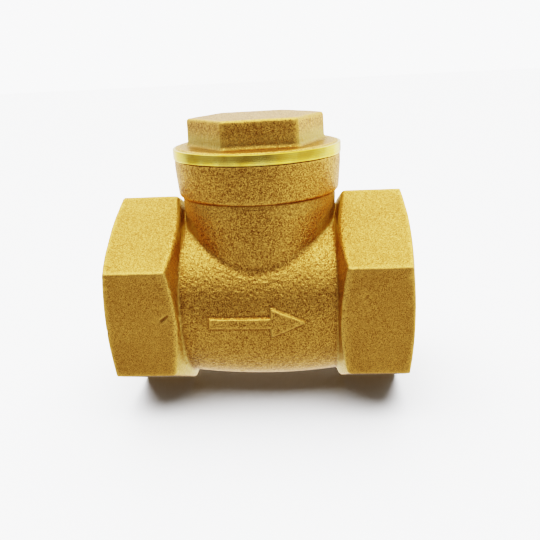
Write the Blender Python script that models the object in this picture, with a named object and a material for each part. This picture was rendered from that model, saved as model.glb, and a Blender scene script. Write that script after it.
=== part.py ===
"""Brass swing check valve with female pipe ends and a screwed hexagon cap.

The frame: the origin is where the pipe axis meets the cap axis, +X is the flow direction
(inlet at -X), +Z points up through the cap, and the valve stands as it sits in a level pipe.
"""

import math

import bmesh
import bpy
from mathutils import Matrix, Vector

MM = 0.001
GAP = 0.3 * MM  # between pieces that touch on the real valve

# Outside of the body forging.
LENGTH = 64.0 * MM
END_FLATS = 40.4 * MM  # across the flats of the wrench hexagons
END_WIDTH = 13.55 * MM  # of a hexagon, along its corners
FACE_CHAMFER = 0.8 * MM  # turned off the corners at the pipe face
BACK_CHAMFER = 1.3 * MM  # turned off the corners behind
FACE_RADIUS = 20.0 * MM  # of the turned pipe face
VALLEY_X = 16.75 * MM  # where a hexagon's back meets the barrel
VALLEY_RADIUS = 18.4 * MM
BARREL_RADIUS = 19.5 * MM
NECK_BASE_RADIUS = 16.6 * MM
NECK_BASE_Z = 10.0 * MM
NECK_RADIUS = 17.0 * MM
NECK_TOP = 24.1 * MM
COLLAR_FOOT_RADIUS = 17.7 * MM  # at the collar's lower edge, from where it leans out
COLLAR_FOOT_Z = 24.9 * MM
COLLAR_RADIUS = 18.1 * MM
COLLAR_FULL_Z = 30.0 * MM
COLLAR_TOP = 31.95 * MM
COLLAR_EDGE = 0.3 * MM

# Raised flow arrow, one on each side of the barrel.
ARROW_LENGTH = 21.0 * MM
ARROW_HEAD_LENGTH = 8.0 * MM
ARROW_HEAD_WIDTH = 6.6 * MM
ARROW_SHAFT_WIDTH = 2.6 * MM
ARROW_RELIEF = 0.45 * MM

# Pipe sockets, thread size G 1.
PIPE_PITCH = 2.309 * MM
PIPE_MAJOR = 16.62 * MM
PIPE_MINOR = 15.15 * MM
PIPE_CREST = 0.385 * MM
SOCKET_DEPTH = 14.5 * MM
SOCKET_MOUTH = 17.3 * MM
SOCKET_LEAD_IN = 2.1 * MM

# Inside of the body.
CHAMBER_RADIUS = 16.0 * MM
CHAMBER_INLET_X = -12.0 * MM
CHAMBER_OUTLET_X = 14.0 * MM
CHAMBER_EDGE = 1.5 * MM
OUTLET_RADIUS = 13.5 * MM
SEAT_X = -9.0 * MM
SEAT_BORE = 10.2 * MM
SEAT_RIM = 12.4 * MM
NECK_BORE = 14.0 * MM
NECK_BORE_BOTTOM = 13.0 * MM

# Cap and its thread, size M30 x 1.5.
CAP_PITCH = 1.5 * MM
CAP_NUT_MAJOR = 15.05 * MM
CAP_NUT_MINOR = 14.2 * MM
CAP_BOLT_MAJOR = 14.75 * MM
CAP_BOLT_MINOR = 13.9 * MM
CAP_CREST = 0.2 * MM
CAP_FLANK = 0.49 * MM
CAP_THREAD_BOTTOM = 20.5 * MM
CAP_MOUTH = 15.4 * MM  # of the lead-in cone above the neck's thread
CAP_LEAD_IN = 1.2 * MM
CAP_PLUG_BOTTOM = 22.5 * MM
CAP_PLUG_TOP = 30.2 * MM
CAP_HOLLOW_RADIUS = 10.8 * MM
CAP_HOLLOW_TOP = 36.5 * MM
FLANGE_RADIUS = 18.25 * MM
FLANGE_BOTTOM = 32.28 * MM
FLANGE_TOP = 34.35 * MM
CAP_FLATS = 26.0 * MM
CAP_TOP = 40.4 * MM
CAP_TURN = math.radians(8)  # where the hexagon stopped when the cap was tightened
CAP_EDGE = 0.8 * MM
GASKET_SEAT_RADIUS = 16.9 * MM
GASKET_SEAT_Z = 30.8 * MM
GASKET_RADIUS = 16.6 * MM
GASKET_BORE = 15.1 * MM

# Hinge.
PIN_X = -7.5 * MM
PIN_Z = 16.5 * MM
PIN_RADIUS = 1.5 * MM
PIN_FRONT = -12.2 * MM
PIN_REAR = 12.1 * MM
LUG_RADIUS = 3.6 * MM
LUG_START = 8.5 * MM
LUG_END = 14.5 * MM
LUG_SKIN = 16.2 * MM  # the lugs stop at this radius, inside the neck's wall
KNUCKLE_RADIUS = 3.4 * MM
KNUCKLE_HALF = 7.0 * MM
SIDE_WASHER_RADIUS = 3.0 * MM
BOSS_RADIUS = 5.0 * MM
BOSS_FACE = 16.6 * MM
PLUG_SHANK_RADIUS = 2.5 * MM
PLUG_SHANK_END = 12.5 * MM
PLUG_WASHER_THICKNESS = 0.6 * MM
PLUG_WASHER_RADIUS = 4.4 * MM
PLUG_HEAD_RADIUS = 4.1 * MM
PLUG_HEAD_HEIGHT = 1.9 * MM
PLUG_SLOT_WIDTH = 1.2 * MM
PLUG_SLOT_DEPTH = 0.9 * MM

# Clapper: the arm, the disc and what holds the seal on it.
ARM_BACK_X = -5.1 * MM
ARM_FRONT_X = -3.3 * MM
ARM_HALF_WIDTH = 3.5 * MM
EYE_RADIUS = 5.5 * MM
DISC_RADIUS = 12.2 * MM
DISC_BACK_RADIUS = 11.0 * MM
DISC_RIM_X = -8.2 * MM
DISC_FLOOR_X = -6.6 * MM
DISC_BACK_X = -5.4 * MM
DISC_POCKET_RADIUS = 11.5 * MM
STUD_RADIUS = 2.5 * MM
STUD_END_X = 2.2 * MM
SCREW_RADIUS = 1.4 * MM
SCREW_END_X = -1.6 * MM
SEAL_RADIUS = 11.2 * MM
SEAL_FACE_X = -8.7 * MM
PLATE_RADIUS = 7.8 * MM
PLATE_THICKNESS = 1.2 * MM
SPRING_WASHER_RADIUS = 2.7 * MM
SPRING_WASHER_THICKNESS = 0.6 * MM
SCREW_HEAD_RADIUS = 2.7 * MM
SCREW_HEAD_HEIGHT = 1.6 * MM
SCREW_SLOT_WIDTH = 0.7 * MM
DISC_WASHER_RADIUS = 5.0 * MM
DISC_WASHER_THICKNESS = 0.7 * MM
NUT_FLATS = 8.0 * MM
NUT_HEIGHT = 2.0 * MM
SPLIT_PIN_RADIUS = 0.4 * MM
SPLIT_PIN_HOLE = 0.7 * MM
SPLIT_PIN_X = 1.3 * MM
SPLIT_PIN_HALF = 4.0 * MM
SPLIT_PIN_HEAD = 0.8 * MM

# How finely round shapes are divided.
ROUND = 40
SMALL_ROUND = 20
THREAD_ROUND = 24
BARREL_STEPS = 6
SHARP_ANGLE = math.radians(30)
MERGE = 1e-7

END_FACE_X = LENGTH / 2
HEX_CORNER = 2 / math.sqrt(3)  # a hexagon's corner radius over half its flats
PIN_HOLE = PIN_RADIUS + GAP
PLUG_HOLE = PLUG_SHANK_RADIUS + GAP
STUD_HOLE = STUD_RADIUS + GAP
SCREW_HOLE = SCREW_RADIUS + GAP

AXES = {
    "X": Matrix.Rotation(math.radians(90), 4, "Y"),
    "-X": Matrix.Rotation(math.radians(-90), 4, "Y"),
    "Y": Matrix.Rotation(math.radians(-90), 4, "X"),
    "Z": Matrix.Identity(4),
}


def clear_scene():
    """Removes what the opened scene holds."""
    for item in list(bpy.data.objects):
        bpy.data.objects.remove(item)


def finish(name, colour, roughness, metallic=1.0):
    """A Principled material of one colour."""
    material = bpy.data.materials.new(name)
    material.use_nodes = True
    shader = material.node_tree.nodes["Principled BSDF"]
    shader.inputs["Base Color"].default_value = (*colour, 1)
    shader.inputs["Roughness"].default_value = roughness
    shader.inputs["Metallic"].default_value = metallic
    return material


def make_object(name, bm, axis="Z", at=(0, 0, 0)):
    """Turns a mesh built along +Z to its axis, moves it to its place and links it."""
    bmesh.ops.recalc_face_normals(bm, faces=bm.faces)
    bm.transform(Matrix.Translation(Vector(at)) @ AXES[axis])
    mesh = bpy.data.meshes.new(name)
    bm.to_mesh(mesh)
    bm.free()
    item = bpy.data.objects.new(name, mesh)
    bpy.context.scene.collection.objects.link(item)
    return item


def spun(name, column_at, axis, segments, at=(0, 0, 0)):
    """A closed solid spun round Z from columns of (radius, height) points.

    column_at gives the column at a share of the turn. The last column closes on the first one,
    which on a thread lies one pitch further along.
    """
    bm = bmesh.new()
    columns = []
    for i in range(segments + 1):
        share = (i + 0.5) / segments
        cos, sin = math.cos(2 * math.pi * share), math.sin(2 * math.pi * share)
        columns.append([bm.verts.new((r * cos, r * sin, h)) for r, h in column_at(share)])
    for near, far in zip(columns, columns[1:]):
        for k in range(len(near) - 1):
            bm.faces.new((near[k], far[k], far[k + 1], near[k + 1]))
    bmesh.ops.remove_doubles(bm, verts=bm.verts, dist=MERGE)
    return make_object(name, bm, axis, at)


def turned(name, profile, axis="Z", at=(0, 0, 0), segments=ROUND):
    """A turned solid. The profile is its half section as (radius, height) points."""
    return spun(name, lambda share: profile, axis, segments, at)


def rod(name, radius, start, end, axis="Z", at=(0, 0, 0), segments=ROUND):
    """A plain cylinder from start to end along its axis."""
    profile = [(0, start), (radius, start), (radius, end), (0, end)]
    return turned(name, profile, axis, at, segments)


def ring(name, bore, radius, start, end, axis="Z", at=(0, 0, 0), segments=ROUND):
    """A flat ring or a sleeve."""
    profile = [(bore, start), (radius, start), (radius, end), (bore, end), (bore, start)]
    return turned(name, profile, axis, at, segments)


def extruded(name, outline, start, end, axis="Z", at=(0, 0, 0)):
    """A straight prism over an outline of (x, y) points."""
    bm = bmesh.new()
    lower = [bm.verts.new((x, y, start)) for x, y in outline]
    upper = [bm.verts.new((x, y, end)) for x, y in outline]
    bm.faces.new(lower)
    bm.faces.new(upper)
    for i, (a, b) in enumerate(zip(lower, upper)):
        bm.faces.new((a, lower[i - 1], upper[i - 1], b))
    return make_object(name, bm, axis, at)


def hexagon(flats, turn=0.0):
    """The outline of a hexagon with a corner at +X before it is turned."""
    radius = flats / 2 * HEX_CORNER
    angles = [turn + math.radians(60 * i) for i in range(6)]
    return [(radius * math.cos(a), radius * math.sin(a)) for a in angles]


def thread_column(share, start, end, outer, inner, pitch, crest, flank, mouth=0.0, taper=0.0):
    """A right-hand thread's (radius, height) points at a share of the turn.

    crest is the flat at the outer radius. Past the ends the points gather on the end planes.
    mouth is the radius of a lead-in cone at the end plane, and taper its rise per length.
    """
    section = [
        (-crest / 2, outer),
        (crest / 2, outer),
        (crest / 2 + flank, inner),
        (pitch - crest / 2 - flank, inner),
    ]
    column = []
    for turn in range(math.floor(start / pitch) - 2, math.ceil(end / pitch) + 1):
        for offset, radius in section:
            height = (turn + share) * pitch + offset
            if not start < height < end:
                radius = inner
                height = min(max(height, start), end)
            column.append((max(radius, mouth - (end - height) * taper), height))
    return column


def combine(target, tool, operation):
    """Applies an exact Boolean and takes the tool away."""
    modifier = target.modifiers.new(operation, "BOOLEAN")
    modifier.operation = operation
    modifier.solver = "EXACT"
    modifier.object = tool
    bpy.context.view_layer.objects.active = target
    bpy.ops.object.modifier_apply(modifier=modifier.name)
    bpy.data.objects.remove(tool)


def cut(target, *tools):
    """Takes each tool's shape out of the target."""
    for tool in tools:
        combine(target, tool, "DIFFERENCE")


def join(target, *tools):
    """Adds each tool's shape to the target."""
    for tool in tools:
        combine(target, tool, "UNION")


def keep(target, tool):
    """Keeps only what lies inside the tool."""
    combine(target, tool, "INTERSECT")


def dress(item, material, origin=(0, 0, 0)):
    """Gives the piece its finish, its smooth shading and its origin."""
    item.data.materials.clear()
    item.data.materials.append(material)
    item.data.shade_smooth()
    item.data.set_sharp_from_angle(angle=SHARP_ANGLE)
    item.data.transform(Matrix.Translation(-Vector(origin)))
    item.location = origin
    return item


def end_hexagon(side):
    """One wrench hexagon, its corners turned back to the flats at both ends."""
    flats = END_FLATS / 2
    corner = flats * HEX_CORNER
    reach = corner + 0.1 * MM
    back = END_FACE_X - END_WIDTH
    slope = BACK_CHAMFER / (corner - flats)
    valley = back - (corner - VALLEY_RADIUS) * slope
    envelope = [
        (0, valley),
        (VALLEY_RADIUS, valley),
        (reach, back + (reach - corner) * slope),
        (reach, END_FACE_X - FACE_CHAMFER * (reach - FACE_RADIUS) / (corner - FACE_RADIUS)),
        (FACE_RADIUS, END_FACE_X),
        (0, END_FACE_X),
    ]
    item = extruded("end", hexagon(END_FLATS), valley - MM, END_FACE_X + MM, side)
    keep(item, turned("envelope", envelope, side))
    return item


def barrel(radius, valley_radius):
    """The bulged tube between the hexagons, an arc turned round the pipe axis."""
    rise = radius - valley_radius
    bow = (VALLEY_X**2 + rise**2) / (2 * rise)
    reach = VALLEY_X + 3 * MM
    profile = [(0, -reach)]
    for i in range(BARREL_STEPS + 1):
        x = reach * (2 * i / BARREL_STEPS - 1)
        profile.append((radius - bow + math.sqrt(bow**2 - x**2), x))
    profile.append((0, reach))
    return turned("barrel", profile, "X")


def neck():
    """The upright neck with the collar that takes the cap."""
    taper = (NECK_RADIUS - NECK_BASE_RADIUS) / (NECK_TOP - NECK_BASE_Z)
    foot = NECK_BASE_RADIUS - NECK_BASE_Z * taper
    profile = [
        (0, 0),
        (foot, 0),
        (NECK_RADIUS, NECK_TOP),
        (COLLAR_FOOT_RADIUS, COLLAR_FOOT_Z),
        (COLLAR_RADIUS, COLLAR_FULL_Z),
        (COLLAR_RADIUS, COLLAR_TOP - COLLAR_EDGE),
        (COLLAR_RADIUS - COLLAR_EDGE, COLLAR_TOP),
        (0, COLLAR_TOP),
    ]
    return turned("neck", profile)


def flow_arrow(side):
    """A raised arrow along the flow, on the front (side -1) or the rear (side 1)."""
    tail = -ARROW_LENGTH / 2
    tip = ARROW_LENGTH / 2
    shoulder = tip - ARROW_HEAD_LENGTH
    shaft = ARROW_SHAFT_WIDTH / 2
    head = ARROW_HEAD_WIDTH / 2
    upper = [(tail, shaft), (shoulder, shaft), (shoulder, head)]
    outline = upper + [(tip, 0)] + [(x, -z) for x, z in reversed(upper)]
    item = extruded("arrow", outline, 0, BARREL_RADIUS + MM)
    item.data.transform(Matrix.Rotation(math.radians(-90) * side, 4, "X"))
    keep(item, barrel(BARREL_RADIUS + ARROW_RELIEF, VALLEY_RADIUS + ARROW_RELIEF))
    cut(item, rod("core", CHAMBER_RADIUS + MM, -LENGTH, LENGTH, "X"))
    return item


def lug(side):
    """One of the two ears inside the neck that carry the hinge pin."""
    start, end = sorted((LUG_START * side, LUG_END * side))
    item = rod("lug", LUG_RADIUS, start, end, "Y", (PIN_X, 0, PIN_Z), SMALL_ROUND)
    keep(item, rod("skin", LUG_SKIN, 0, COLLAR_TOP))
    return item


def socket_column(share):
    """One pipe socket's points, from its deep end to past its mouth."""
    end = END_FACE_X + MM / 2
    taper = (SOCKET_MOUTH - PIPE_MINOR) / SOCKET_LEAD_IN
    return thread_column(
        share,
        END_FACE_X - SOCKET_DEPTH,
        end,
        PIPE_MAJOR,
        PIPE_MINOR,
        PIPE_PITCH,
        PIPE_CREST,
        PIPE_PITCH / 2 - PIPE_CREST,
        SOCKET_MOUTH + MM / 2 * taper,
        taper,
    )


def flow_path_column(share):
    """The whole way through: inlet socket, seat, chamber, outlet bore and outlet socket."""
    inlet = [(r, -h) for r, h in reversed(socket_column(1 - share))]
    outlet = socket_column(share)
    middle = [
        (SEAT_BORE, SOCKET_DEPTH - END_FACE_X),
        (SEAT_BORE, SEAT_X),
        (SEAT_RIM, SEAT_X),
        (SEAT_RIM, CHAMBER_INLET_X),
        (CHAMBER_RADIUS - CHAMBER_EDGE, CHAMBER_INLET_X),
        (CHAMBER_RADIUS, CHAMBER_INLET_X + CHAMBER_EDGE),
        (CHAMBER_RADIUS, CHAMBER_OUTLET_X - CHAMBER_EDGE),
        (CHAMBER_RADIUS - CHAMBER_EDGE, CHAMBER_OUTLET_X),
        (OUTLET_RADIUS, CHAMBER_OUTLET_X),
        (OUTLET_RADIUS, END_FACE_X - SOCKET_DEPTH),
    ]
    return [(0, inlet[0][1])] + inlet + middle + outlet + [(0, outlet[-1][1])]


def neck_path_column(share):
    """The way down the neck: gasket seat, cap thread and neck bore."""
    thread = thread_column(
        share,
        CAP_THREAD_BOTTOM,
        GASKET_SEAT_Z,
        CAP_NUT_MAJOR,
        CAP_NUT_MINOR,
        CAP_PITCH,
        CAP_PITCH - CAP_CREST - 2 * CAP_FLANK,
        CAP_FLANK,
        CAP_MOUTH,
        (CAP_MOUTH - CAP_NUT_MINOR) / CAP_LEAD_IN,
    )
    lower = [(0, NECK_BORE_BOTTOM), (NECK_BORE, NECK_BORE_BOTTOM), (NECK_BORE, CAP_THREAD_BOTTOM)]
    top = COLLAR_TOP + MM / 2
    upper = [(GASKET_SEAT_RADIUS, GASKET_SEAT_Z), (GASKET_SEAT_RADIUS, top), (0, top)]
    return lower + thread + upper


def make_body(material):
    """The forged and machined body."""
    item = neck()
    item.name = "body"
    item.data.name = "body"
    pin_at = (PIN_X, 0, PIN_Z)
    boss = rod("boss", BOSS_RADIUS, LUG_START, BOSS_FACE, "Y", pin_at, SMALL_ROUND)
    join(item, barrel(BARREL_RADIUS, VALLEY_RADIUS), end_hexagon("X"), end_hexagon("-X"))
    join(item, boss, flow_arrow(-1), flow_arrow(1))
    cut(item, spun("flow_path", flow_path_column, "X", THREAD_ROUND))
    cut(item, spun("neck_path", neck_path_column, "Z", THREAD_ROUND))
    join(item, lug(-1), lug(1))
    past = BOSS_FACE + MM
    hole = [
        (0, PIN_FRONT - GAP),
        (PIN_HOLE, PIN_FRONT - GAP),
        (PIN_HOLE, PIN_REAR),
        (PLUG_HOLE, PIN_REAR),
        (PLUG_HOLE, past),
        (0, past),
    ]
    cut(item, turned("pin_hole", hole, "Y", pin_at, SMALL_ROUND))
    return dress(item, material)


def cap_column(share):
    """The cap without its hexagon: threaded plug, undercut and flange."""
    thread = thread_column(
        share,
        CAP_PLUG_BOTTOM,
        CAP_PLUG_TOP,
        CAP_BOLT_MAJOR,
        CAP_BOLT_MINOR,
        CAP_PITCH,
        CAP_CREST,
        CAP_FLANK,
    )
    flange = [
        (CAP_BOLT_MINOR, FLANGE_BOTTOM),
        (FLANGE_RADIUS - COLLAR_EDGE, FLANGE_BOTTOM),
        (FLANGE_RADIUS, FLANGE_BOTTOM + COLLAR_EDGE),
        (FLANGE_RADIUS, FLANGE_TOP),
        (0, FLANGE_TOP),
    ]
    return [(0, CAP_PLUG_BOTTOM)] + thread + flange


def cap_head():
    """The cap's hexagon with its edges rounded."""
    item = extruded("head", hexagon(CAP_FLATS, CAP_TURN), FLANGE_TOP - MM, CAP_TOP)
    modifier = item.modifiers.new("edges", "BEVEL")
    modifier.width = CAP_EDGE
    modifier.segments = 2
    bpy.context.view_layer.objects.active = item
    bpy.ops.object.modifier_apply(modifier=modifier.name)
    return item


def make_cap(material):
    """The hexagon cap: its head, its flange and its hollow threaded plug."""
    item = spun("cap", cap_column, "Z", THREAD_ROUND)
    join(item, cap_head())
    cut(item, rod("hollow", CAP_HOLLOW_RADIUS, CAP_PLUG_BOTTOM - MM, CAP_HOLLOW_TOP))
    return dress(item, material, (0, 0, FLANGE_BOTTOM))


def make_cap_gasket(material):
    """The flat ring between the collar and the cap's flange."""
    top = FLANGE_BOTTOM - GAP
    item = ring("cap_gasket", GASKET_BORE, GASKET_RADIUS, GASKET_SEAT_Z + GAP, top)
    return dress(item, material, (0, 0, FLANGE_BOTTOM))


def make_hinge_pin(material):
    """The pin that the arm swings on."""
    edge = 0.3 * MM
    profile = [
        (0, PIN_FRONT),
        (PIN_RADIUS - edge, PIN_FRONT),
        (PIN_RADIUS, PIN_FRONT + edge),
        (PIN_RADIUS, PIN_REAR - edge),
        (PIN_RADIUS - edge, PIN_REAR),
        (0, PIN_REAR),
    ]
    item = turned("hinge_pin", profile, "Y", (PIN_X, 0, PIN_Z), SMALL_ROUND)
    return dress(item, material, (PIN_X, 0, PIN_Z))


def make_side_washer(name, side, material):
    """A washer on the pin, between the arm's knuckle and a lug."""
    start, end = sorted(((KNUCKLE_HALF + GAP) * side, (LUG_START - GAP) * side))
    at = (PIN_X, 0, PIN_Z)
    item = ring(name, PIN_HOLE, SIDE_WASHER_RADIUS, start, end, "Y", at, SMALL_ROUND)
    return dress(item, material, at)


def make_plug_washer(material):
    """The sealing washer under the pin plug's head."""
    start = BOSS_FACE + GAP
    end = start + PLUG_WASHER_THICKNESS
    at = (PIN_X, 0, PIN_Z)
    item = ring("plug_washer", PLUG_HOLE, PLUG_WASHER_RADIUS, start, end, "Y", at, SMALL_ROUND)
    return dress(item, material, at)


def make_pin_plug(material):
    """The slotted screw plug that closes the pin's hole at the rear."""
    seat = BOSS_FACE + PLUG_WASHER_THICKNESS + 2 * GAP
    top = seat + PLUG_HEAD_HEIGHT
    at = (PIN_X, 0, PIN_Z)
    edge = 0.4 * MM
    profile = [
        (0, PLUG_SHANK_END),
        (PLUG_SHANK_RADIUS, PLUG_SHANK_END),
        (PLUG_SHANK_RADIUS, seat),
        (PLUG_HEAD_RADIUS, seat),
        (PLUG_HEAD_RADIUS, top - edge),
        (PLUG_HEAD_RADIUS - edge, top),
        (0, top),
    ]
    item = turned("pin_plug", profile, "Y", at, SMALL_ROUND)
    half = PLUG_SLOT_WIDTH / 2
    reach = PLUG_HEAD_RADIUS + MM
    slot = [(-reach, -half), (reach, -half), (reach, half), (-reach, half)]
    cut(item, extruded("slot", slot, top - PLUG_SLOT_DEPTH, top + MM, "Y", at))
    return dress(item, material, at)


def make_hinge_arm(material):
    """The arm: a knuckle on the pin, a cranked lever and an eye for the disc's stud."""
    at = (PIN_X, 0, PIN_Z)
    item = rod("hinge_arm", KNUCKLE_RADIUS, -KNUCKLE_HALF, KNUCKLE_HALF, "Y", at, SMALL_ROUND)
    side = [
        (ARM_BACK_X, 0),
        (ARM_FRONT_X, 0),
        (ARM_FRONT_X, PIN_Z - 3.6 * MM),
        (PIN_X + 2.4 * MM, PIN_Z + 2.0 * MM),
        (PIN_X - 1.0 * MM, PIN_Z + 1.0 * MM),
        (PIN_X, PIN_Z - 2.6 * MM),
        (ARM_BACK_X, PIN_Z - 3.6 * MM),
    ]
    lever = extruded("lever", [(x, -z) for x, z in side], -ARM_HALF_WIDTH, ARM_HALF_WIDTH, "Y")
    join(item, lever, rod("eye", EYE_RADIUS, ARM_BACK_X, ARM_FRONT_X, "X", segments=SMALL_ROUND))
    cut(
        item,
        rod("pin_hole", PIN_HOLE, -KNUCKLE_HALF - MM, KNUCKLE_HALF + MM, "Y", at, SMALL_ROUND),
        rod("stud_hole", STUD_HOLE, ARM_BACK_X - MM, ARM_FRONT_X + MM, "X", segments=SMALL_ROUND),
    )
    return dress(item, material, at)


def make_disc(material):
    """The disc, with a pocket for the seal in front and a drilled stud behind."""
    profile = [
        (0, SCREW_END_X),
        (SCREW_HOLE, SCREW_END_X),
        (SCREW_HOLE, DISC_FLOOR_X),
        (DISC_POCKET_RADIUS, DISC_FLOOR_X),
        (DISC_POCKET_RADIUS, DISC_RIM_X),
        (DISC_RADIUS, DISC_RIM_X),
        (DISC_RADIUS, DISC_FLOOR_X),
        (DISC_BACK_RADIUS, DISC_BACK_X),
        (STUD_RADIUS, DISC_BACK_X),
        (STUD_RADIUS, STUD_END_X - 0.4 * MM),
        (STUD_RADIUS - 0.4 * MM, STUD_END_X),
        (0, STUD_END_X),
    ]
    item = turned("disc", profile, "X")
    across = STUD_RADIUS + MM
    at = (SPLIT_PIN_X, 0, 0)
    cut(item, rod("pin_hole", SPLIT_PIN_HOLE, -across, across, "Y", at, 12))
    return dress(item, material)


def make_disc_seal(material):
    """The rubber facing in the disc's pocket."""
    item = ring("disc_seal", SCREW_HOLE, SEAL_RADIUS, SEAL_FACE_X, DISC_FLOOR_X - GAP, "X")
    return dress(item, material)


def make_seal_plate(material):
    """The plate that clamps the seal."""
    back = SEAL_FACE_X - GAP
    item = ring("seal_plate", SCREW_HOLE, PLATE_RADIUS, back - PLATE_THICKNESS, back, "X")
    return dress(item, material)


def make_spring_washer(material):
    """The split spring washer under the plate screw's head."""
    back = SEAL_FACE_X - PLATE_THICKNESS - 2 * GAP
    front = back - SPRING_WASHER_THICKNESS
    item = ring("spring_washer", SCREW_HOLE, SPRING_WASHER_RADIUS, front, back, "X", segments=SMALL_ROUND)
    slit = 0.3 * MM
    block = [(-slit, MM), (slit, MM), (slit, 4 * MM), (-slit, 4 * MM)]
    cut(item, extruded("slit", block, front - MM, back + MM, "X"))
    return dress(item, material)


def make_plate_screw(material):
    """The slotted screw that holds the plate and the seal on the disc."""
    back = SEAL_FACE_X - PLATE_THICKNESS - SPRING_WASHER_THICKNESS - 3 * GAP
    front = back - SCREW_HEAD_HEIGHT
    edge = 0.3 * MM
    profile = [
        (0, front),
        (SCREW_HEAD_RADIUS - edge, front),
        (SCREW_HEAD_RADIUS, front + edge),
        (SCREW_HEAD_RADIUS, back),
        (SCREW_RADIUS, back),
        (SCREW_RADIUS, SCREW_END_X - GAP),
        (0, SCREW_END_X - GAP),
    ]
    item = turned("plate_screw", profile, "X", segments=SMALL_ROUND)
    half = SCREW_SLOT_WIDTH / 2
    reach = SCREW_HEAD_RADIUS + MM
    slot = [(-half, -reach), (half, -reach), (half, reach), (-half, reach)]
    cut(item, extruded("slot", slot, front - MM, front + SCREW_HEAD_HEIGHT / 2, "X"))
    return dress(item, material)


def make_disc_washer(material):
    """The washer between the arm's eye and the disc's nut."""
    start = ARM_FRONT_X + GAP
    end = start + DISC_WASHER_THICKNESS
    item = ring("disc_washer", STUD_HOLE, DISC_WASHER_RADIUS, start, end, "X", segments=SMALL_ROUND)
    return dress(item, material)


def make_disc_nut(material):
    """The nut on the stud, left loose enough for the disc to settle on its seat."""
    start = ARM_FRONT_X + DISC_WASHER_THICKNESS + 2 * GAP
    item = extruded("disc_nut", hexagon(NUT_FLATS), start, start + NUT_HEIGHT, "X")
    cut(item, rod("bore", STUD_HOLE, start - MM, start + NUT_HEIGHT + MM, "X", segments=SMALL_ROUND))
    return dress(item, material)


def make_split_pin(material):
    """The split pin through the stud that keeps the nut on."""
    neck_at = SPLIT_PIN_HALF - SPLIT_PIN_HEAD
    profile = [(0, -SPLIT_PIN_HALF), (SPLIT_PIN_RADIUS, -SPLIT_PIN_HALF), (SPLIT_PIN_RADIUS, neck_at)]
    steps = 6
    for i in range(1, steps):
        angle = math.pi * i / steps
        across = max(SPLIT_PIN_HEAD * math.sin(angle), SPLIT_PIN_RADIUS)
        profile.append((across, SPLIT_PIN_HALF - SPLIT_PIN_HEAD * math.cos(angle)))
    profile.append((0, SPLIT_PIN_HALF + SPLIT_PIN_HEAD))
    item = turned("split_pin", profile, "Y", (SPLIT_PIN_X, 0, 0), 12)
    return dress(item, material)


def main():
    """Makes every piece of the valve."""
    clear_scene()
    forged = finish("forged_brass", (0.80, 0.58, 0.24), 0.42)
    turned_brass = finish("turned_brass", (0.88, 0.68, 0.30), 0.22)
    steel = finish("stainless_steel", (0.62, 0.62, 0.60), 0.30)
    rubber = finish("nitrile_rubber", (0.03, 0.03, 0.03), 0.65, 0.0)
    fibre = finish("gasket_fibre", (0.13, 0.10, 0.08), 0.80, 0.0)
    make_body(forged)
    make_cap(forged)
    make_cap_gasket(fibre)
    make_hinge_pin(steel)
    make_side_washer("pin_washer_front", -1, turned_brass)
    make_side_washer("pin_washer_rear", 1, turned_brass)
    make_pin_plug(turned_brass)
    make_plug_washer(fibre)
    make_hinge_arm(turned_brass)
    make_disc(turned_brass)
    make_disc_seal(rubber)
    make_seal_plate(steel)
    make_spring_washer(steel)
    make_plate_screw(steel)
    make_disc_washer(steel)
    make_disc_nut(turned_brass)
    make_split_pin(steel)


main()
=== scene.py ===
"""The looks of a forged brass swing check valve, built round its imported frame.

Lengths in the classes are millimetres along the frame's axes: +X is the flow, +Z is up through
the cap and +Y is away from the side that the camera sees. Meshes are turned to metres when made.
"""

import logging
import math
from collections.abc import Callable, Sequence
from dataclasses import dataclass
from enum import Enum

import bmesh
import bpy
import numpy as np
from mathutils import Matrix, Vector


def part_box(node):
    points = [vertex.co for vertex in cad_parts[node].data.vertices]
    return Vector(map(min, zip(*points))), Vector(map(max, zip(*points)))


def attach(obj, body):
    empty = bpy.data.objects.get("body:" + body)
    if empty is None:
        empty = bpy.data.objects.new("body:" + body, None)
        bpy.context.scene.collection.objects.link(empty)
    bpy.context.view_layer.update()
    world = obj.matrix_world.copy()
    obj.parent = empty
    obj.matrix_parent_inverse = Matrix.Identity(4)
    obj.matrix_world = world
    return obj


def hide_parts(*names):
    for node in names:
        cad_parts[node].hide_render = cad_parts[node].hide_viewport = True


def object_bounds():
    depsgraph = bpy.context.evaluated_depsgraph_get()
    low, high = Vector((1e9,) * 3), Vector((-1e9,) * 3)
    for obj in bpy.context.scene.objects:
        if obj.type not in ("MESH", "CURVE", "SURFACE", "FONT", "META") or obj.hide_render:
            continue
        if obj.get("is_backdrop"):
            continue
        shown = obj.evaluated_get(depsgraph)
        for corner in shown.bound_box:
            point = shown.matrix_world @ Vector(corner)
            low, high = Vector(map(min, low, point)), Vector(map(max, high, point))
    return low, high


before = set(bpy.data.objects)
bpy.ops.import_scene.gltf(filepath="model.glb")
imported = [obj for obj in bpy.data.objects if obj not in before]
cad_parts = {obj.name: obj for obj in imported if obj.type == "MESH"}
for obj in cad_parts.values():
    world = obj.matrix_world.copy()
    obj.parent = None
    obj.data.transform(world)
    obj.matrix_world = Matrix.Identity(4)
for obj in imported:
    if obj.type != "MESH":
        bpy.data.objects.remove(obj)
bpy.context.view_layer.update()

LOG = logging.getLogger("check_valve")

MM = 0.001
MERGE = 2e-7
CREASE = math.radians(50)

Number = float | np.ndarray
Point = tuple[float, float, float]
Colour = tuple[float, float, float]
Outline = list[tuple[float, float]]
ColumnAt = Callable[[float], Outline]
Field = Callable[[np.ndarray, np.ndarray, np.ndarray], np.ndarray]
Repair = Callable[[bmesh.types.BMesh], None]

PIN_AT: Point = (-7.5, 0.0, 16.5)


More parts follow.
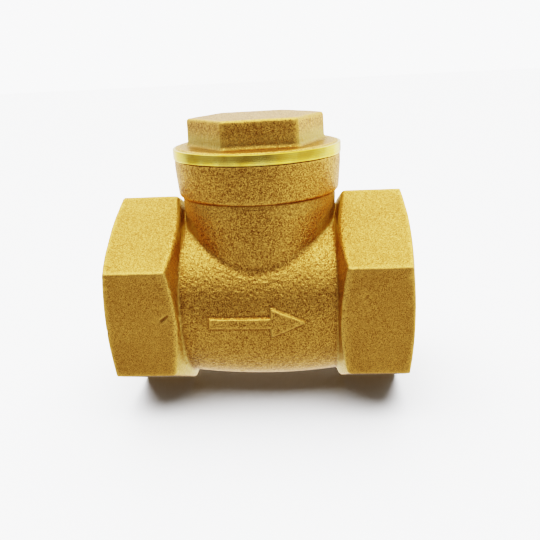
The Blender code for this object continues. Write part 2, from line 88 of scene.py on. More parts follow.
class Axis(Enum):
    """The axis that a piece is turned round, with the turn that takes +Z there."""

    X = ("X", Matrix.Rotation(math.radians(90), 3, "Y"))
    Y = ("Y", Matrix.Rotation(math.radians(-90), 3, "X"))
    Z = ("Z", Matrix.Identity(3))

    @property
    def number(self) -> int:
        """Its place among the coordinates."""
        return "XYZ".index(self.value[0])

    @property
    def turn(self) -> np.ndarray:
        """The rotation as an array."""
        return np.array(self.value[1])


class Body(Enum):
    """The frame's rigid bodies."""

    VALVE = "valve_body"
    GASKET = "gasket"
    CAP = "cap"
    ARM = "arm"
    DISC = "disc_set"


class Slot(Enum):
    """The material slots that the pieces are listed with."""

    FORGED = "forged_brass"
    CAP = "cap_brass"
    TURNED = "turned_brass"
    STEEL = "stainless_steel"
    RUBBER = "nitrile_rubber"
    FIBRE = "gasket_fibre"


# ---------------------------------------------------------------- shader arithmetic


class Wire:
    """A number socket that takes part in arithmetic."""

    def __init__(self, kit: "NodeKit", socket: bpy.types.NodeSocket) -> None:
        self.kit = kit
        self.socket = socket

    def __add__(self, other: "Wire | float") -> "Wire":
        """self + other."""
        return self.kit.math("ADD", self, other)

    __radd__ = __add__

    def __sub__(self, other: "Wire | float") -> "Wire":
        """self - other."""
        return self.kit.math("SUBTRACT", self, other)

    def __rsub__(self, other: "Wire | float") -> "Wire":
        """other - self."""
        return self.kit.math("SUBTRACT", other, self)

    def __mul__(self, other: "Wire | float") -> "Wire":
        """self * other."""
        return self.kit.math("MULTIPLY", self, other)

    __rmul__ = __mul__

    def __pow__(self, other: "Wire | float") -> "Wire":
        """self to the power of other."""
        return self.kit.math("POWER", self, other)

    def clamp(self) -> "Wire":
        """self kept from 0 to 1."""
        return self.kit.node("ShaderNodeClamp", {}, {"Value": self})

    def between(self, low: float, high: float) -> "Wire":
        """A smooth step from 0 at low to 1 at high."""
        sockets = {"Value": self, "From Min": low, "From Max": high}
        return self.kit.node("ShaderNodeMapRange", {"interpolation_type": "SMOOTHSTEP"}, sockets)


class NodeKit:
    """Builds one material's or one world's node tree."""

    def __init__(self, tree: bpy.types.NodeTree) -> None:
        """Keeps the tree that nodes are added to."""
        self.tree = tree

    def node(self, kind: str, settings: dict, sockets: dict, output: int | str = 0) -> Wire:
        """Adds a node.

        Args:
            kind: The node's type.
            settings: Its settings, which are set first.
            sockets: The values or wires of its inputs, by name or number.
            output: The output that is handed back.

        Returns:
            That output as a wire.
        """
        made = self.tree.nodes.new(kind)
        for name, value in settings.items():
            setattr(made, name, value)
        for name, value in sockets.items():
            self.feed(made.inputs[name], value)
        return Wire(self, made.outputs[output])

    def feed(self, socket: bpy.types.NodeSocket, value: object) -> None:
        """Links a wire to the socket, or sets the socket's own value.

        Args:
            socket: The input socket.
            value: A wire, a number, a vector, or a colour, which is then opaque.
        """
        if isinstance(value, Wire):
            self.tree.links.new(value.socket, socket)
        elif isinstance(value, tuple) and len(socket.default_value) == len(value) + 1:
            socket.default_value = (*value, 1.0)
        else:
            socket.default_value = value

    def math(self, operation: str, *values: Wire | float) -> Wire:
        """A Math node on numbers."""
        return self.node("ShaderNodeMath", {"operation": operation}, dict(enumerate(values)))

    def vector(self, operation: str, first: object, second: object) -> Wire:
        """A Vector Math node."""
        sockets = {0: first, "Scale" if operation == "SCALE" else 1: second}
        return self.node("ShaderNodeVectorMath", {"operation": operation}, sockets)

    def mix(self, factor: Wire | float, first: object, second: object) -> Wire:
        """A colour between two, by factor."""
        settings = {"data_type": "RGBA"}
        return self.node("ShaderNodeMix", settings, {0: factor, 6: first, 7: second}, 2)

    def place(self) -> Wire:
        """The point on the piece, in millimetres in the frame's axes."""
        return self.vector("SCALE", self.node("ShaderNodeTexCoord", {}, {}, "Object"), 1 / MM)

    def noise(self, at: Wire, size: float, detail: float = 2.0, rough: float = 0.5) -> Wire:
        """Cloudy noise from 0 to 1, about size millimetres across."""
        sockets = {"Vector": at, "Scale": 1 / size, "Detail": detail, "Roughness": rough}
        return self.node("ShaderNodeTexNoise", {}, sockets)

    def grit(self, at: Wire, size: float) -> Wire:
        """A chance number for each of many cells, about size millimetres across."""
        sockets = {"Vector": at, "Scale": 1 / size}
        return self.axes(self.node("ShaderNodeTexVoronoi", {"feature": "F1"}, sockets, "Color"))[0]

    def stripes(self, along: Wire, pitch: float) -> Wire:
        """Noise along one coordinate only."""
        sockets = {"W": along, "Scale": 1 / pitch, "Detail": 3.0}
        return self.node("ShaderNodeTexNoise", {"noise_dimensions": "1D"}, sockets)

    def axes(self, at: Wire) -> tuple[Wire, Wire, Wire]:
        """The point's three coordinates."""
        made = self.node("ShaderNodeSeparateXYZ", {}, {0: at}).socket.node
        return tuple(Wire(self, made.outputs[i]) for i in range(3))

    def attribute(self, name: str) -> Wire:
        """A number stored on the mesh."""
        return self.node("ShaderNodeAttribute", {"attribute_name": name}, {}, "Fac")

    def bump(self, height: Wire) -> Wire:
        """A normal bent by a height in millimetres."""
        return self.node("ShaderNodeBump", {}, {"Height": height, "Strength": 1.0, "Distance": MM})


@dataclass(frozen=True)
class Finish:
    """A surface finish on the Principled shader."""

    name: str

    def material(self) -> bpy.types.Material:
        """Makes the finish's material.

        Returns:
            The new material.
        """
        made = bpy.data.materials.new(self.name)
        made.use_nodes = True
        kit = NodeKit(made.node_tree)
        shader = made.node_tree.nodes["Principled BSDF"]
        for name, value in self.surface(kit).items():
            kit.feed(shader.inputs[name], value)
        return made

    def surface(self, kit: NodeKit) -> dict[str, object]:
        """The shader's socket values, which each finish gives."""
        raise NotImplementedError


@dataclass(frozen=True)
class BlastedBrass(Finish):
    """A brass forging blasted with grit: dimples, a slow orange peel, edges lightened partly as bare worn metal
    and partly as a painted highlight, painted glints on some grit cells and a pale painted bounce light in the
    recesses.

    Sizes and depths are in millimetres. The tones say how much each pattern lightens the colour.
    """

    deep: Colour = (0.33, 0.165, 0.042)
    light: Colour = (0.92, 0.56, 0.175)
    # The colour of the painted bounce light in the recesses.
    painted_bounce_colour: Colour = (0.62, 0.46, 0.16)
    dimple: float = 0.19
    dimple_depth: float = 0.05
    ripple: float = 0.70
    ripple_depth: float = 0.17
    peel: float = 1.2
    peel_depth: float = 0.07
    roughness: float = 0.40
    calm_from: float = 17.6
    calm_over: float = 1.4
    calm: float = 0.55
    patch: float = 8.0
    tone: float = 0.42
    grain_tone: float = 4.6
    grit_tone: float = 0.40
    ripple_tone: float = 0.6
    patch_tone: float = 0.28
    # How much convex edges are lightened, partly as wear and partly as a painted highlight, and how far the
    # recesses go toward the painted bounce light.
    edge_wear_and_highlight: float = 0.65
    painted_bounce_share: float = 0.85

    def surface(self, kit: NodeKit) -> dict[str, object]:
        """Grit dimples in colour, roughness and height, calmer on the wrench flats, with painted glints, edges
        lightened as wear and painted highlight, and a pale painted bounce light mixed into the recesses.

        Args:
            kit: The material's nodes.

        Returns:
            The values or wires of the shader's sockets.
        """
        at = kit.place()
        ends = kit.math("ABSOLUTE", kit.axes(at)[0]).between(self.calm_from, self.calm_from + self.calm_over)
        amount = 1 - ends * self.calm
        grain = kit.noise(at, self.dimple, 1.0) - 0.5
        ripple = kit.noise(at, self.ripple, 1.5) - 0.5
        peel = kit.noise(at, self.peel, 1.5) - 0.5
        patch = kit.noise(at, self.patch, 3.0) - 0.5
        grit = kit.grit(at, self.dimple * 1.2)
        # The brightest grit cells are lightened as painted glints and made smoother; the darkest become darker
        # specks.
        painted_glint, speck = grit.between(0.74, 0.95), grit.between(0.26, 0.05)
        # The edge number lightens convex edges, partly as wear and partly as painted highlight; the hollow
        # number gives the painted bounce light of recesses.
        edge = kit.attribute("edge")
        hollow = kit.attribute("hollow").clamp()
        height = (grain * self.dimple_depth + ripple * self.ripple_depth + peel * self.peel_depth) * amount
        tone = (grain * self.grain_tone + (painted_glint - speck) * self.grit_tone + ripple * self.ripple_tone) * amount
        tone = tone + patch * self.patch_tone + edge * self.edge_wear_and_highlight + self.tone
        # Recesses are mixed toward the pale painted bounce light.
        colour = kit.mix(hollow * self.painted_bounce_share, kit.mix(tone.clamp(), self.deep, self.light), self.painted_bounce_colour)
        rough = self.roughness - grain * 0.3 * amount - painted_glint * 0.10
        return {
            "Base Color": colour,
            "Metallic": 1.0,
            "Roughness": rough.clamp(),
            "Normal": kit.bump(height),
        }


@dataclass(frozen=True)
class TurnedBrass(Finish):
    """Brass from the lathe, with tool marks in rings round one axis."""

    axis: Axis = Axis.X
    centre: Point = (0.0, 0.0, 0.0)
    deep: Colour = (0.68, 0.42, 0.10)
    light: Colour = (0.92, 0.70, 0.28)
    roughness: float = 0.22
    pitch: float = 0.16
    depth: float = 0.006
    film: float = 3.5
    speck: float = 0.35
    spot: float = 5.0
    stain: Colour = (0.50, 0.30, 0.06)
    stained: float = 0.18

    def surface(self, kit: NodeKit) -> dict[str, object]:
        """Rings of fine grooves, with a dull film in places.

        Args:
            kit: The material's nodes.

        Returns:
            The values or wires of the shader's sockets.
        """
        at = kit.place()
        parts = list(kit.axes(kit.vector("SUBTRACT", at, self.centre)))
        along = parts.pop(self.axis.number)
        radius = (parts[0] * parts[0] + parts[1] * parts[1]) ** 0.5
        rings = kit.stripes(radius + along, self.pitch)
        film = kit.noise(at, self.film, 3.0)
        specks = kit.noise(at, self.speck)
        spots = kit.noise(at, self.spot).between(0.50, 0.66) * self.stained
        colour = kit.mix((film * 0.7 + rings * 0.4).between(0.30, 0.80), self.deep, self.light)
        colour = kit.mix(spots, colour, self.stain)
        rough = self.roughness + (film - 0.5) * 0.16 + (rings - 0.5) * 0.12 + specks * 0.05 + spots * 0.12
        return {
            "Base Color": colour,
            "Metallic": 1.0,
            "Roughness": rough.clamp(),
            "Normal": kit.bump(rings * self.depth + specks * 0.003),
        }


@dataclass(frozen=True)
class Steel(Finish):
    """Stainless steel small parts, satin with a brushed grain."""

    colour: Colour = (0.60, 0.60, 0.58)
    roughness: float = 0.26

    def surface(self, kit: NodeKit) -> dict[str, object]:
        """A fine streaked grain with a few dull patches.

        Args:
            kit: The material's nodes.

        Returns:
            The values or wires of the shader's sockets.
        """
        at = kit.place()
        streak = kit.noise(kit.vector("MULTIPLY", at, (9.0, 1.0, 1.0)), 1.1, 4.0)
        film = kit.noise(at, 2.5)
        rough = self.roughness + (streak - 0.5) * 0.2 + (film - 0.5) * 0.1
        return {
            "Base Color": kit.mix(film, tuple(0.78 * c for c in self.colour), self.colour),
            "Metallic": 1.0,
            "Roughness": rough.clamp(),
            "Normal": kit.bump(streak * 0.004),
        }


@dataclass(frozen=True)
class Rubber(Finish):
    """Moulded black rubber."""

    colour: Colour = (0.016, 0.016, 0.017)

    def surface(self, kit: NodeKit) -> dict[str, object]:
        """A matt skin with faint bloom and a moulded grain.

        Args:
            kit: The material's nodes.

        Returns:
            The values or wires of the shader's sockets.
        """
        at = kit.place()
        bloom = kit.noise(at, 4.0, 3.0)
        grain = kit.noise(at, 0.3)
        return {
            "Base Color": kit.mix(bloom.between(0.45, 0.85), self.colour, tuple(2.6 * c for c in self.colour)),
            "Metallic": 0.0,
            "Roughness": (0.58 + grain * 0.15 + bloom * 0.1).clamp(),
            "Normal": kit.bump(grain * 0.015),
        }


@dataclass(frozen=True)
class Fibre(Finish):
    """Pressed gasket sheet."""

    deep: Colour = (0.030, 0.020, 0.014)
    light: Colour = (0.12, 0.085, 0.055)

    def surface(self, kit: NodeKit) -> dict[str, object]:
        """Matted fibres pressed flat.

        Args:
            kit: The material's nodes.

        Returns:
            The values or wires of the shader's sockets.
        """
        at = kit.place()
        strands = kit.noise(kit.vector("MULTIPLY", at, (1.0, 3.0, 1.0)), 0.6, 4.0, 0.7)
        return {
            "Base Color": kit.mix(strands.between(0.3, 0.75), self.deep, self.light),
            "Metallic": 0.0,
            "Roughness": (0.75 + strands * 0.2).clamp(),
            "Normal": kit.bump(strands * 0.03),
        }


@dataclass(frozen=True)
class Paper(Finish):
    """Plain studio paper, which may glow."""

    colour: Colour = (0.84, 0.85, 0.87)
    roughness: float = 0.7
    glow: Colour = (1.0, 1.0, 1.0)
    glowing: float = 0.0

    def surface(self, kit: NodeKit) -> dict[str, object]:
        """One even tone."""
        even = {"Base Color": self.colour, "Roughness": self.roughness}
        return even | {"Emission Color": self.glow, "Emission Strength": self.glowing}


# ---------------------------------------------------------------- distance fields and meshes


def smooth_least(first: Number, second: Number, blend: float) -> Number:
    """The smaller of two distances, with a fillet where they meet."""
    near = np.maximum(blend - np.abs(first - second), 0) / blend
    return np.minimum(first, second) - near * near * blend / 4


def smooth_most(first: Number, second: Number, blend: float) -> Number:
    """The larger of two distances, with a rounded edge where they meet."""
    return -smooth_least(-first, -second, blend)


def hexagon_distance(across: Number, corner: Number, flats: float, blend: float) -> Number:
    """The distance to a hexagon's sides.

    Args:
        across: The coordinate square to one pair of flats.
        corner: The coordinate that runs through two corners.
        flats: The size across the flats.
        blend: How far the corners are rounded.

    Returns:
        The distance, negative inside.
    """
    half = flats / 2
    lean = math.sqrt(0.75)
    tilted = smooth_most(across / 2 + corner * lean, across / 2 - corner * lean, blend)
    other = smooth_most(-across / 2 - corner * lean, -across / 2 + corner * lean, blend)
    return smooth_most(np.abs(across), smooth_most(tilted, other, blend), blend) - half


def outline_distance(u: Number, v: Number, outline: Outline) -> Number:
    """The signed distance to a closed outline of straight sides.

    Args:
        u: The first coordinate in the outline's plane.
        v: The second one.
        outline: The outline's corners, in order.

    Returns:
        The distance, negative inside.
    """
    nearest = np.full(np.broadcast(u, v).shape, np.inf)
    sign = np.ones(nearest.shape)
    for (au, av), (bu, bv) in zip(outline, outline[1:] + outline[:1]):
        du, dv = bu - au, bv - av
        share = np.clip(((u - au) * du + (v - av) * dv) / (du * du + dv * dv), 0, 1)
        nearest = np.minimum(nearest, np.hypot(u - au - share * du, v - av - share * dv))
        crosses = ((av > v) != (bv > v)) & ((v - av) * du * np.sign(dv) > (u - au) * dv * np.sign(dv))
        sign = np.where(crosses, -sign, sign)
    return nearest * sign


def waves(x: Number, y: Number, z: Number, size: float, count: int, seed: int) -> Number:
    """A slow random swell from -1 to 1.

    Args:
        x: The place along the flow.
        y: The place across it.
        z: The height.
        size: About how long the waves are.
        count: How many waves are added up.
        seed: The seed of their directions and phases.

    Returns:
        The swell at each point.
    """
    chance = np.random.default_rng(seed)
    total = 0.0
    for _ in range(count):
        way = chance.normal(size=3)
        way *= 2 * math.pi / (size * chance.uniform(0.7, 1.5) * np.linalg.norm(way))
        total = total + np.sin(way[0] * x + way[1] * y + way[2] * z + chance.uniform(0, 2 * math.pi))
    return total / count


def gradient(field: Field, points: np.ndarray, step: float = 0.01) -> np.ndarray:
    """The field's slope.

    Args:
        field: The signed distance.
        points: The points where the slope is wanted.
        step: How far to each side it is measured.

    Returns:
        A vector for each point.
    """
    slope = np.empty_like(points)
    for i in range(3):
        ahead, behind = points.copy(), points.copy()
        ahead[:, i] += step
        behind[:, i] -= step
        slope[:, i] = (field(*ahead.T) - field(*behind.T)) / (2 * step)
    return slope


def field_mesh(
    field: Field, low: Sequence[float], high: Sequence[float], cell: float
) -> tuple[np.ndarray, np.ndarray]:
    """A closed mesh of quads on the field's zero surface.

    Args:
        field: The signed distance, negative inside.
        low: The lowest corner of the region.
        high: The highest corner of the region.
        cell: The size of the mesh's cells.

    Returns:
        The points in millimetres and the quads.
    """
    spans = [np.arange(a - cell, b + 2 * cell, cell) for a, b in zip(low, high)]
    grid = np.meshgrid(*spans, indexing="ij", sparse=True)
    value = np.concatenate([field(x[None], grid[1], grid[2]) for x in grid[0]])
    inside = value < 0
    count = np.zeros([n - 1 for n in value.shape], np.int8)
    corners = [np.s_[:-1], np.s_[1:]]
    octants = [(a, b, c) for a in corners for b in corners for c in corners]
    for octant in octants:
        count += inside[octant]
    mixed = (count > 0) & (count < 8)
    index = np.full(count.shape, -1)
    index[mixed] = np.arange(mixed.sum())
    base = np.argwhere(mixed)
    total, crossings = np.zeros((len(base), 3)), np.zeros(len(base))
    for axis in range(3):
        step = np.eye(3, dtype=int)[axis]
        others = np.eye(3, dtype=int)[[(axis + 1) % 3, (axis + 2) % 3]]
        for a in (0, 1):
            for b in (0, 1):
                start = base + a * others[0] + b * others[1]
                near, far = value[tuple(start.T)], value[tuple((start + step).T)]
                crosses = (near < 0) != (far < 0)
                share = np.where(crosses, near / np.where(crosses, near - far, 1), 0)
                total += (start + share[:, None] * step) * crosses[:, None]
                crossings += crosses
    points = (total / crossings[:, None]) * cell + [s[0] for s in spans]
    quads = []
    for axis in range(3):
        order = (axis, (axis + 1) % 3, (axis + 2) % 3)
        turned, numbers = inside.transpose(order), index.transpose(order)
        i, j, k = np.nonzero(turned[:-1, 1:-1, 1:-1] != turned[1:, 1:-1, 1:-1])
        loop = [numbers[i, j + a, k + b] for a, b in ((0, 0), (1, 0), (1, 1), (0, 1))]
        faces = np.stack(loop, 1)
        leaving = turned[i, j + 1, k + 1]
        quads.append(np.where(leaving[:, None], faces, faces[:, ::-1]))
    for _ in range(3):
        slope = gradient(field, points)
        points = points - slope * (field(*points.T) / np.maximum((slope**2).sum(1), 0.25))[:, None]
    return points, np.concatenate(quads)


def mend(bm: bmesh.types.BMesh) -> None:
    """Replaces the faces at any pinched edge or point, so that the skin is closed and simple.

    Args:
        bm: The mesh, which is changed.
    """
    for _ in range(6):
        pinched = {v.index for e in bm.edges if len(e.link_faces) != 2 for v in e.verts}
        pinched |= {v.index for v in bm.verts if not v.is_manifold}
        if not pinched:
            return
        bm.verts.ensure_lookup_table()
        touched = sorted({f.index for i in pinched for f in bm.verts[i].link_faces})
        bm.faces.ensure_lookup_table()
        bmesh.ops.delete(bm, geom=[bm.faces[i] for i in touched], context="FACES")
        bmesh.ops.holes_fill(bm, edges=[e for e in bm.edges if e.is_boundary], sides=0)
        bm.verts.index_update()
        bm.faces.index_update()
    raise RuntimeError("a field mesh is still pinched")


def face_outwards(bm: bmesh.types.BMesh) -> None:
    """Turns all the faces outwards."""
    bmesh.ops.recalc_face_normals(bm, faces=bm.faces)


def join_doubles(bm: bmesh.types.BMesh) -> None:
    """Merges doubled points and turns all the faces outwards."""
    bmesh.ops.remove_doubles(bm, verts=bm.verts, dist=MERGE)
    face_outwards(bm)


def make_object(
    name: str,
    points: Sequence,
    faces: Sequence,
    finishes: Sequence[bpy.types.Material],
    repair: Repair | None = None,
) -> bpy.types.Object:
    """A mesh object from points in millimetres.

    Args:
        name: The piece's name.
        points: Its points.
        faces: Its faces as point numbers.
        finishes: Its materials.
        repair: What is done to the mesh at once.

    Returns:
        The object, linked to the scene.
    """
    mesh = bpy.data.meshes.new(name)
    corners = faces.tolist() if isinstance(faces, np.ndarray) else faces
    mesh.from_pydata((np.asarray(points) * MM).tolist(), [], corners)
    if repair:
        bm = bmesh.new()
        bm.from_mesh(mesh)
        repair(bm)
        bm.to_mesh(mesh)
        bm.free()
    for finish in finishes:
        mesh.materials.append(finish)
    made = bpy.data.objects.new(name, mesh)
    bpy.context.scene.collection.objects.link(made)
    return made


def spin(
    name: str,
    column_at: ColumnAt,
    finishes: Sequence[bpy.types.Material],
    axis: Axis = Axis.Z,
    centre: Point = (0.0, 0.0, 0.0),
    segments: int = 96,
) -> bpy.types.Object:
    """A closed solid spun round an axis.

    Args:
        name: The piece's name.
        column_at: Gives the (radius, height) points at a share of the turn.
        finishes: Its materials.
        axis: The axis it is spun round.
        centre: Where the axis passes.
        segments: How many columns go round.

    Returns:
        The object.
    """
    columns = np.array([column_at(i / segments) for i in range(segments + 1)])
    angle = 2 * math.pi * np.arange(segments + 1)[:, None] / segments
    radius, height = columns[..., 0], columns[..., 1]
    points = np.stack([radius * np.cos(angle), radius * np.sin(angle), height], 2)
    rows = columns.shape[1]
    i, k = np.meshgrid(np.arange(segments), np.arange(rows - 1), indexing="ij")
    first = (i * rows + k).ravel()
    quads = np.stack([first, first + rows, first + rows + 1, first + 1], 1)
    placed = points.reshape(-1, 3) @ axis.turn.T + centre
    return make_object(name, placed, quads, finishes, join_doubles)


def eased(outline: Outline, radius: float, steps: int = 3, closed: bool = False) -> Outline:
    """The outline with its corners rounded off.

    Args:
        outline: The points, in order.
        radius: How far along each side a corner's rounding reaches.
        steps: How many pieces each rounding has.
        closed: Whether the last point joins the first.

    Returns:
        The new outline. An open outline keeps its ends.
    """
    made = []
    for i, here in enumerate(outline):
        if not closed and i in (0, len(outline) - 1):
            made.append(here)
            continue
        corner = np.array(here)
        before = np.array(outline[i - 1]) - corner
        after = np.array(outline[(i + 1) % len(outline)]) - corner
        lengths = np.linalg.norm(before), np.linalg.norm(after)
        reach = min(radius, 0.45 * min(lengths))
        start, end = corner + before / lengths[0] * reach, corner + after / lengths[1] * reach
        for step in range(steps + 1):
            t = step / steps
            made.append(tuple((1 - t) ** 2 * start + 2 * t * (1 - t) * corner + t**2 * end))
    return made


@dataclass(frozen=True)
class Thread:
    """A right-hand screw thread between two end planes."""

    start: float
    end: float
    outer: float
    inner: float
    pitch: float
    crest: float
    flank: float
    mouth: float = 0.0
    taper: float = 0.0
    fade: float = 0.0

    def column(self, share: float) -> Outline:
        """The thread's points, gathered on the end planes past its ends.

        Args:
            share: The share of the turn.

        Returns:
            The (radius, height) points.
        """
        section = [
            (-self.crest / 2, self.outer),
            (self.crest / 2, self.outer),
            (self.crest / 2 + self.flank * 0.12, self.outer + (self.inner - self.outer) * 0.04),
            (self.crest / 2 + self.flank * 0.88, self.inner + (self.outer - self.inner) * 0.04),
            (self.crest / 2 + self.flank, self.inner),
            (self.pitch - self.crest / 2 - self.flank, self.inner),
        ]
        made = []
        for turn in range(math.floor(self.start / self.pitch) - 2, math.ceil(self.end / self.pitch) + 1):
            for offset, radius in section:
                height = (turn + share) * self.pitch + offset
                if not self.start < height < self.end:
                    radius = self.inner
                    height = min(max(height, self.start), self.end)
                if self.fade:
                    cut_in = min((height - self.start) / self.fade, 1.0)
                    radius = self.inner + (radius - self.inner) * cut_in
                made.append((max(radius, self.mouth - (self.end - height) * self.taper), height))
        return made


def combine(target: bpy.types.Object, tool: bpy.types.Object, operation: str) -> None:
    """Applies a Boolean to the target and takes the tool away.

    Args:
        target: The closed mesh that is changed.
        tool: The closed mesh that is taken away, added or kept to.
        operation: The Boolean's name.
    """
    before = len(target.data.polygons)
    modifier = target.modifiers.new(operation, "BOOLEAN")
    modifier.operation = operation
    modifier.solver = "MANIFOLD"
    modifier.object = tool
    bpy.context.view_layer.objects.active = target
    bpy.ops.object.modifier_apply(modifier=modifier.name)
    if len(target.data.polygons) == before:
        raise RuntimeError(f"{operation} with {tool.name} left {target.name} as it was")
    bpy.data.objects.remove(tool)


def forge(
    name: str, field: Field, region: tuple[Sequence[float], Sequence[float]], cell: float,
    finishes: Sequence[bpy.types.Material], share: float = 1.0,
) -> bpy.types.Object:
    """The skin of a distance field as an object.

    Args:
        name: The piece's name.
        field: The signed distance.
        region: The lowest and the highest corner of the piece.
        cell: The size of the mesh's cells.
        finishes: Its materials.
        share: The share of the faces that are kept.

    Returns:
        The object.
    """
    made = make_object(name, *field_mesh(field, *region, cell), finishes, mend)
    if share < 1:
        thin = made.modifiers.new("thin", "DECIMATE")
        thin.ratio = share
        bpy.context.view_layer.objects.active = made
        bpy.ops.object.modifier_apply(modifier=thin.name)
    return made


def paint_faces(piece: bpy.types.Object, number: int) -> bpy.types.Object:
    """Gives all of the piece's faces one of its materials."""
    piece.data.polygons.foreach_set("material_index", [number] * len(piece.data.polygons))
    return piece


@dataclass(frozen=True)
class WearAndPaintedLightMap:
    """Where a forging's convex edges are lightened, as wear and as painted highlight, and where its recesses
    get a painted bounce light, found from its distance field.
    """

    field: Field
    skin: float = 0.1
    reach: float = 0.55
    view: float = 3.5
    gain: float = 2.1
    facing_gain: float = 1.5
    facing_loss: float = 0.2
    high: float = 23.3
    high_share: float = 0.35
    ends: float = 16.0

    def store(self, piece: bpy.types.Object) -> None:
        """Stores the numbers edge, for the lightened edges, and hollow, the share of painted bounce light in
        the recesses, at each of the piece's points.

        Args:
            piece: The piece, whose points lie near the field's zero surface or are turned.
        """
        mesh = piece.data
        points = np.empty(len(mesh.vertices) * 3, np.float32)
        mesh.vertices.foreach_get("co", points)
        points = points.reshape(-1, 3).astype(float) / MM
        slope = gradient(self.field, points)
        steep = np.maximum(np.linalg.norm(slope, axis=1), 1e-6)
        middle = self.field(*points.T)
        forged = np.abs(middle) < self.skin
        around = sum(self.field(*(points + self.reach * s * way).T) for way in np.eye(3) for s in (-1, 1)) / 6
        bend = np.where(forged, (around - middle) / self.reach * 6, 0.0)
        # Painted bounce light: how shut in each point is, from the field a little way out along its normal.
        away = points + self.view * slope / steep[:, None]
        painted_bounce = np.where(forged, 1 - self.field(*away.T) / self.view, 0.0)
        facing = np.abs(slope[:, 0]) / steep * self.facing_gain - self.facing_loss
        # More painted bounce light on faces that look along the flow, and under the collar.
        high = self.high_share * (points[:, 2] > self.high)
        painted_bounce = painted_bounce * self.gain * np.clip(np.maximum(facing, high), 0, 1)
        # The hexagons' inner backs get painted bounce light too.
        inward = -slope[:, 0] * np.sign(points[:, 0]) * (np.abs(points[:, 0]) > self.ends)
        painted_bounce = np.maximum(painted_bounce, inward - self.facing_loss)
        for name, value in (("edge", np.clip(bend, -1, 1)), ("hollow", np.clip(painted_bounce, 0, 1))):
            layer = mesh.attributes.new(name, "FLOAT", "POINT")
            layer.data.foreach_set("value", value.astype(np.float32))


def hang(piece: bpy.types.Object, node: str, body: Body, crease: float = CREASE) -> None:
    """Shades the piece and hangs it on the frame in place of its CAD node.

    Args:
        piece: The finished piece.
        node: The CAD node that it stands for.
        body: The body that it moves with.
        crease: The angle from which an edge is sharp.
    """
    piece.data.shade_smooth()
    piece.data.set_sharp_from_angle(angle=crease)
    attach(piece, body.value)
    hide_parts(node)
    LOG.info("%s stands for %s with %d faces", piece.name, node, len(piece.data.polygons))


def node_box(node: str) -> tuple[np.ndarray, np.ndarray]:
    """A CAD node's lowest and highest corners in millimetres."""
    low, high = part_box(node)
    return np.array(low) / MM, np.array(high) / MM


# ---------------------------------------------------------------- the body


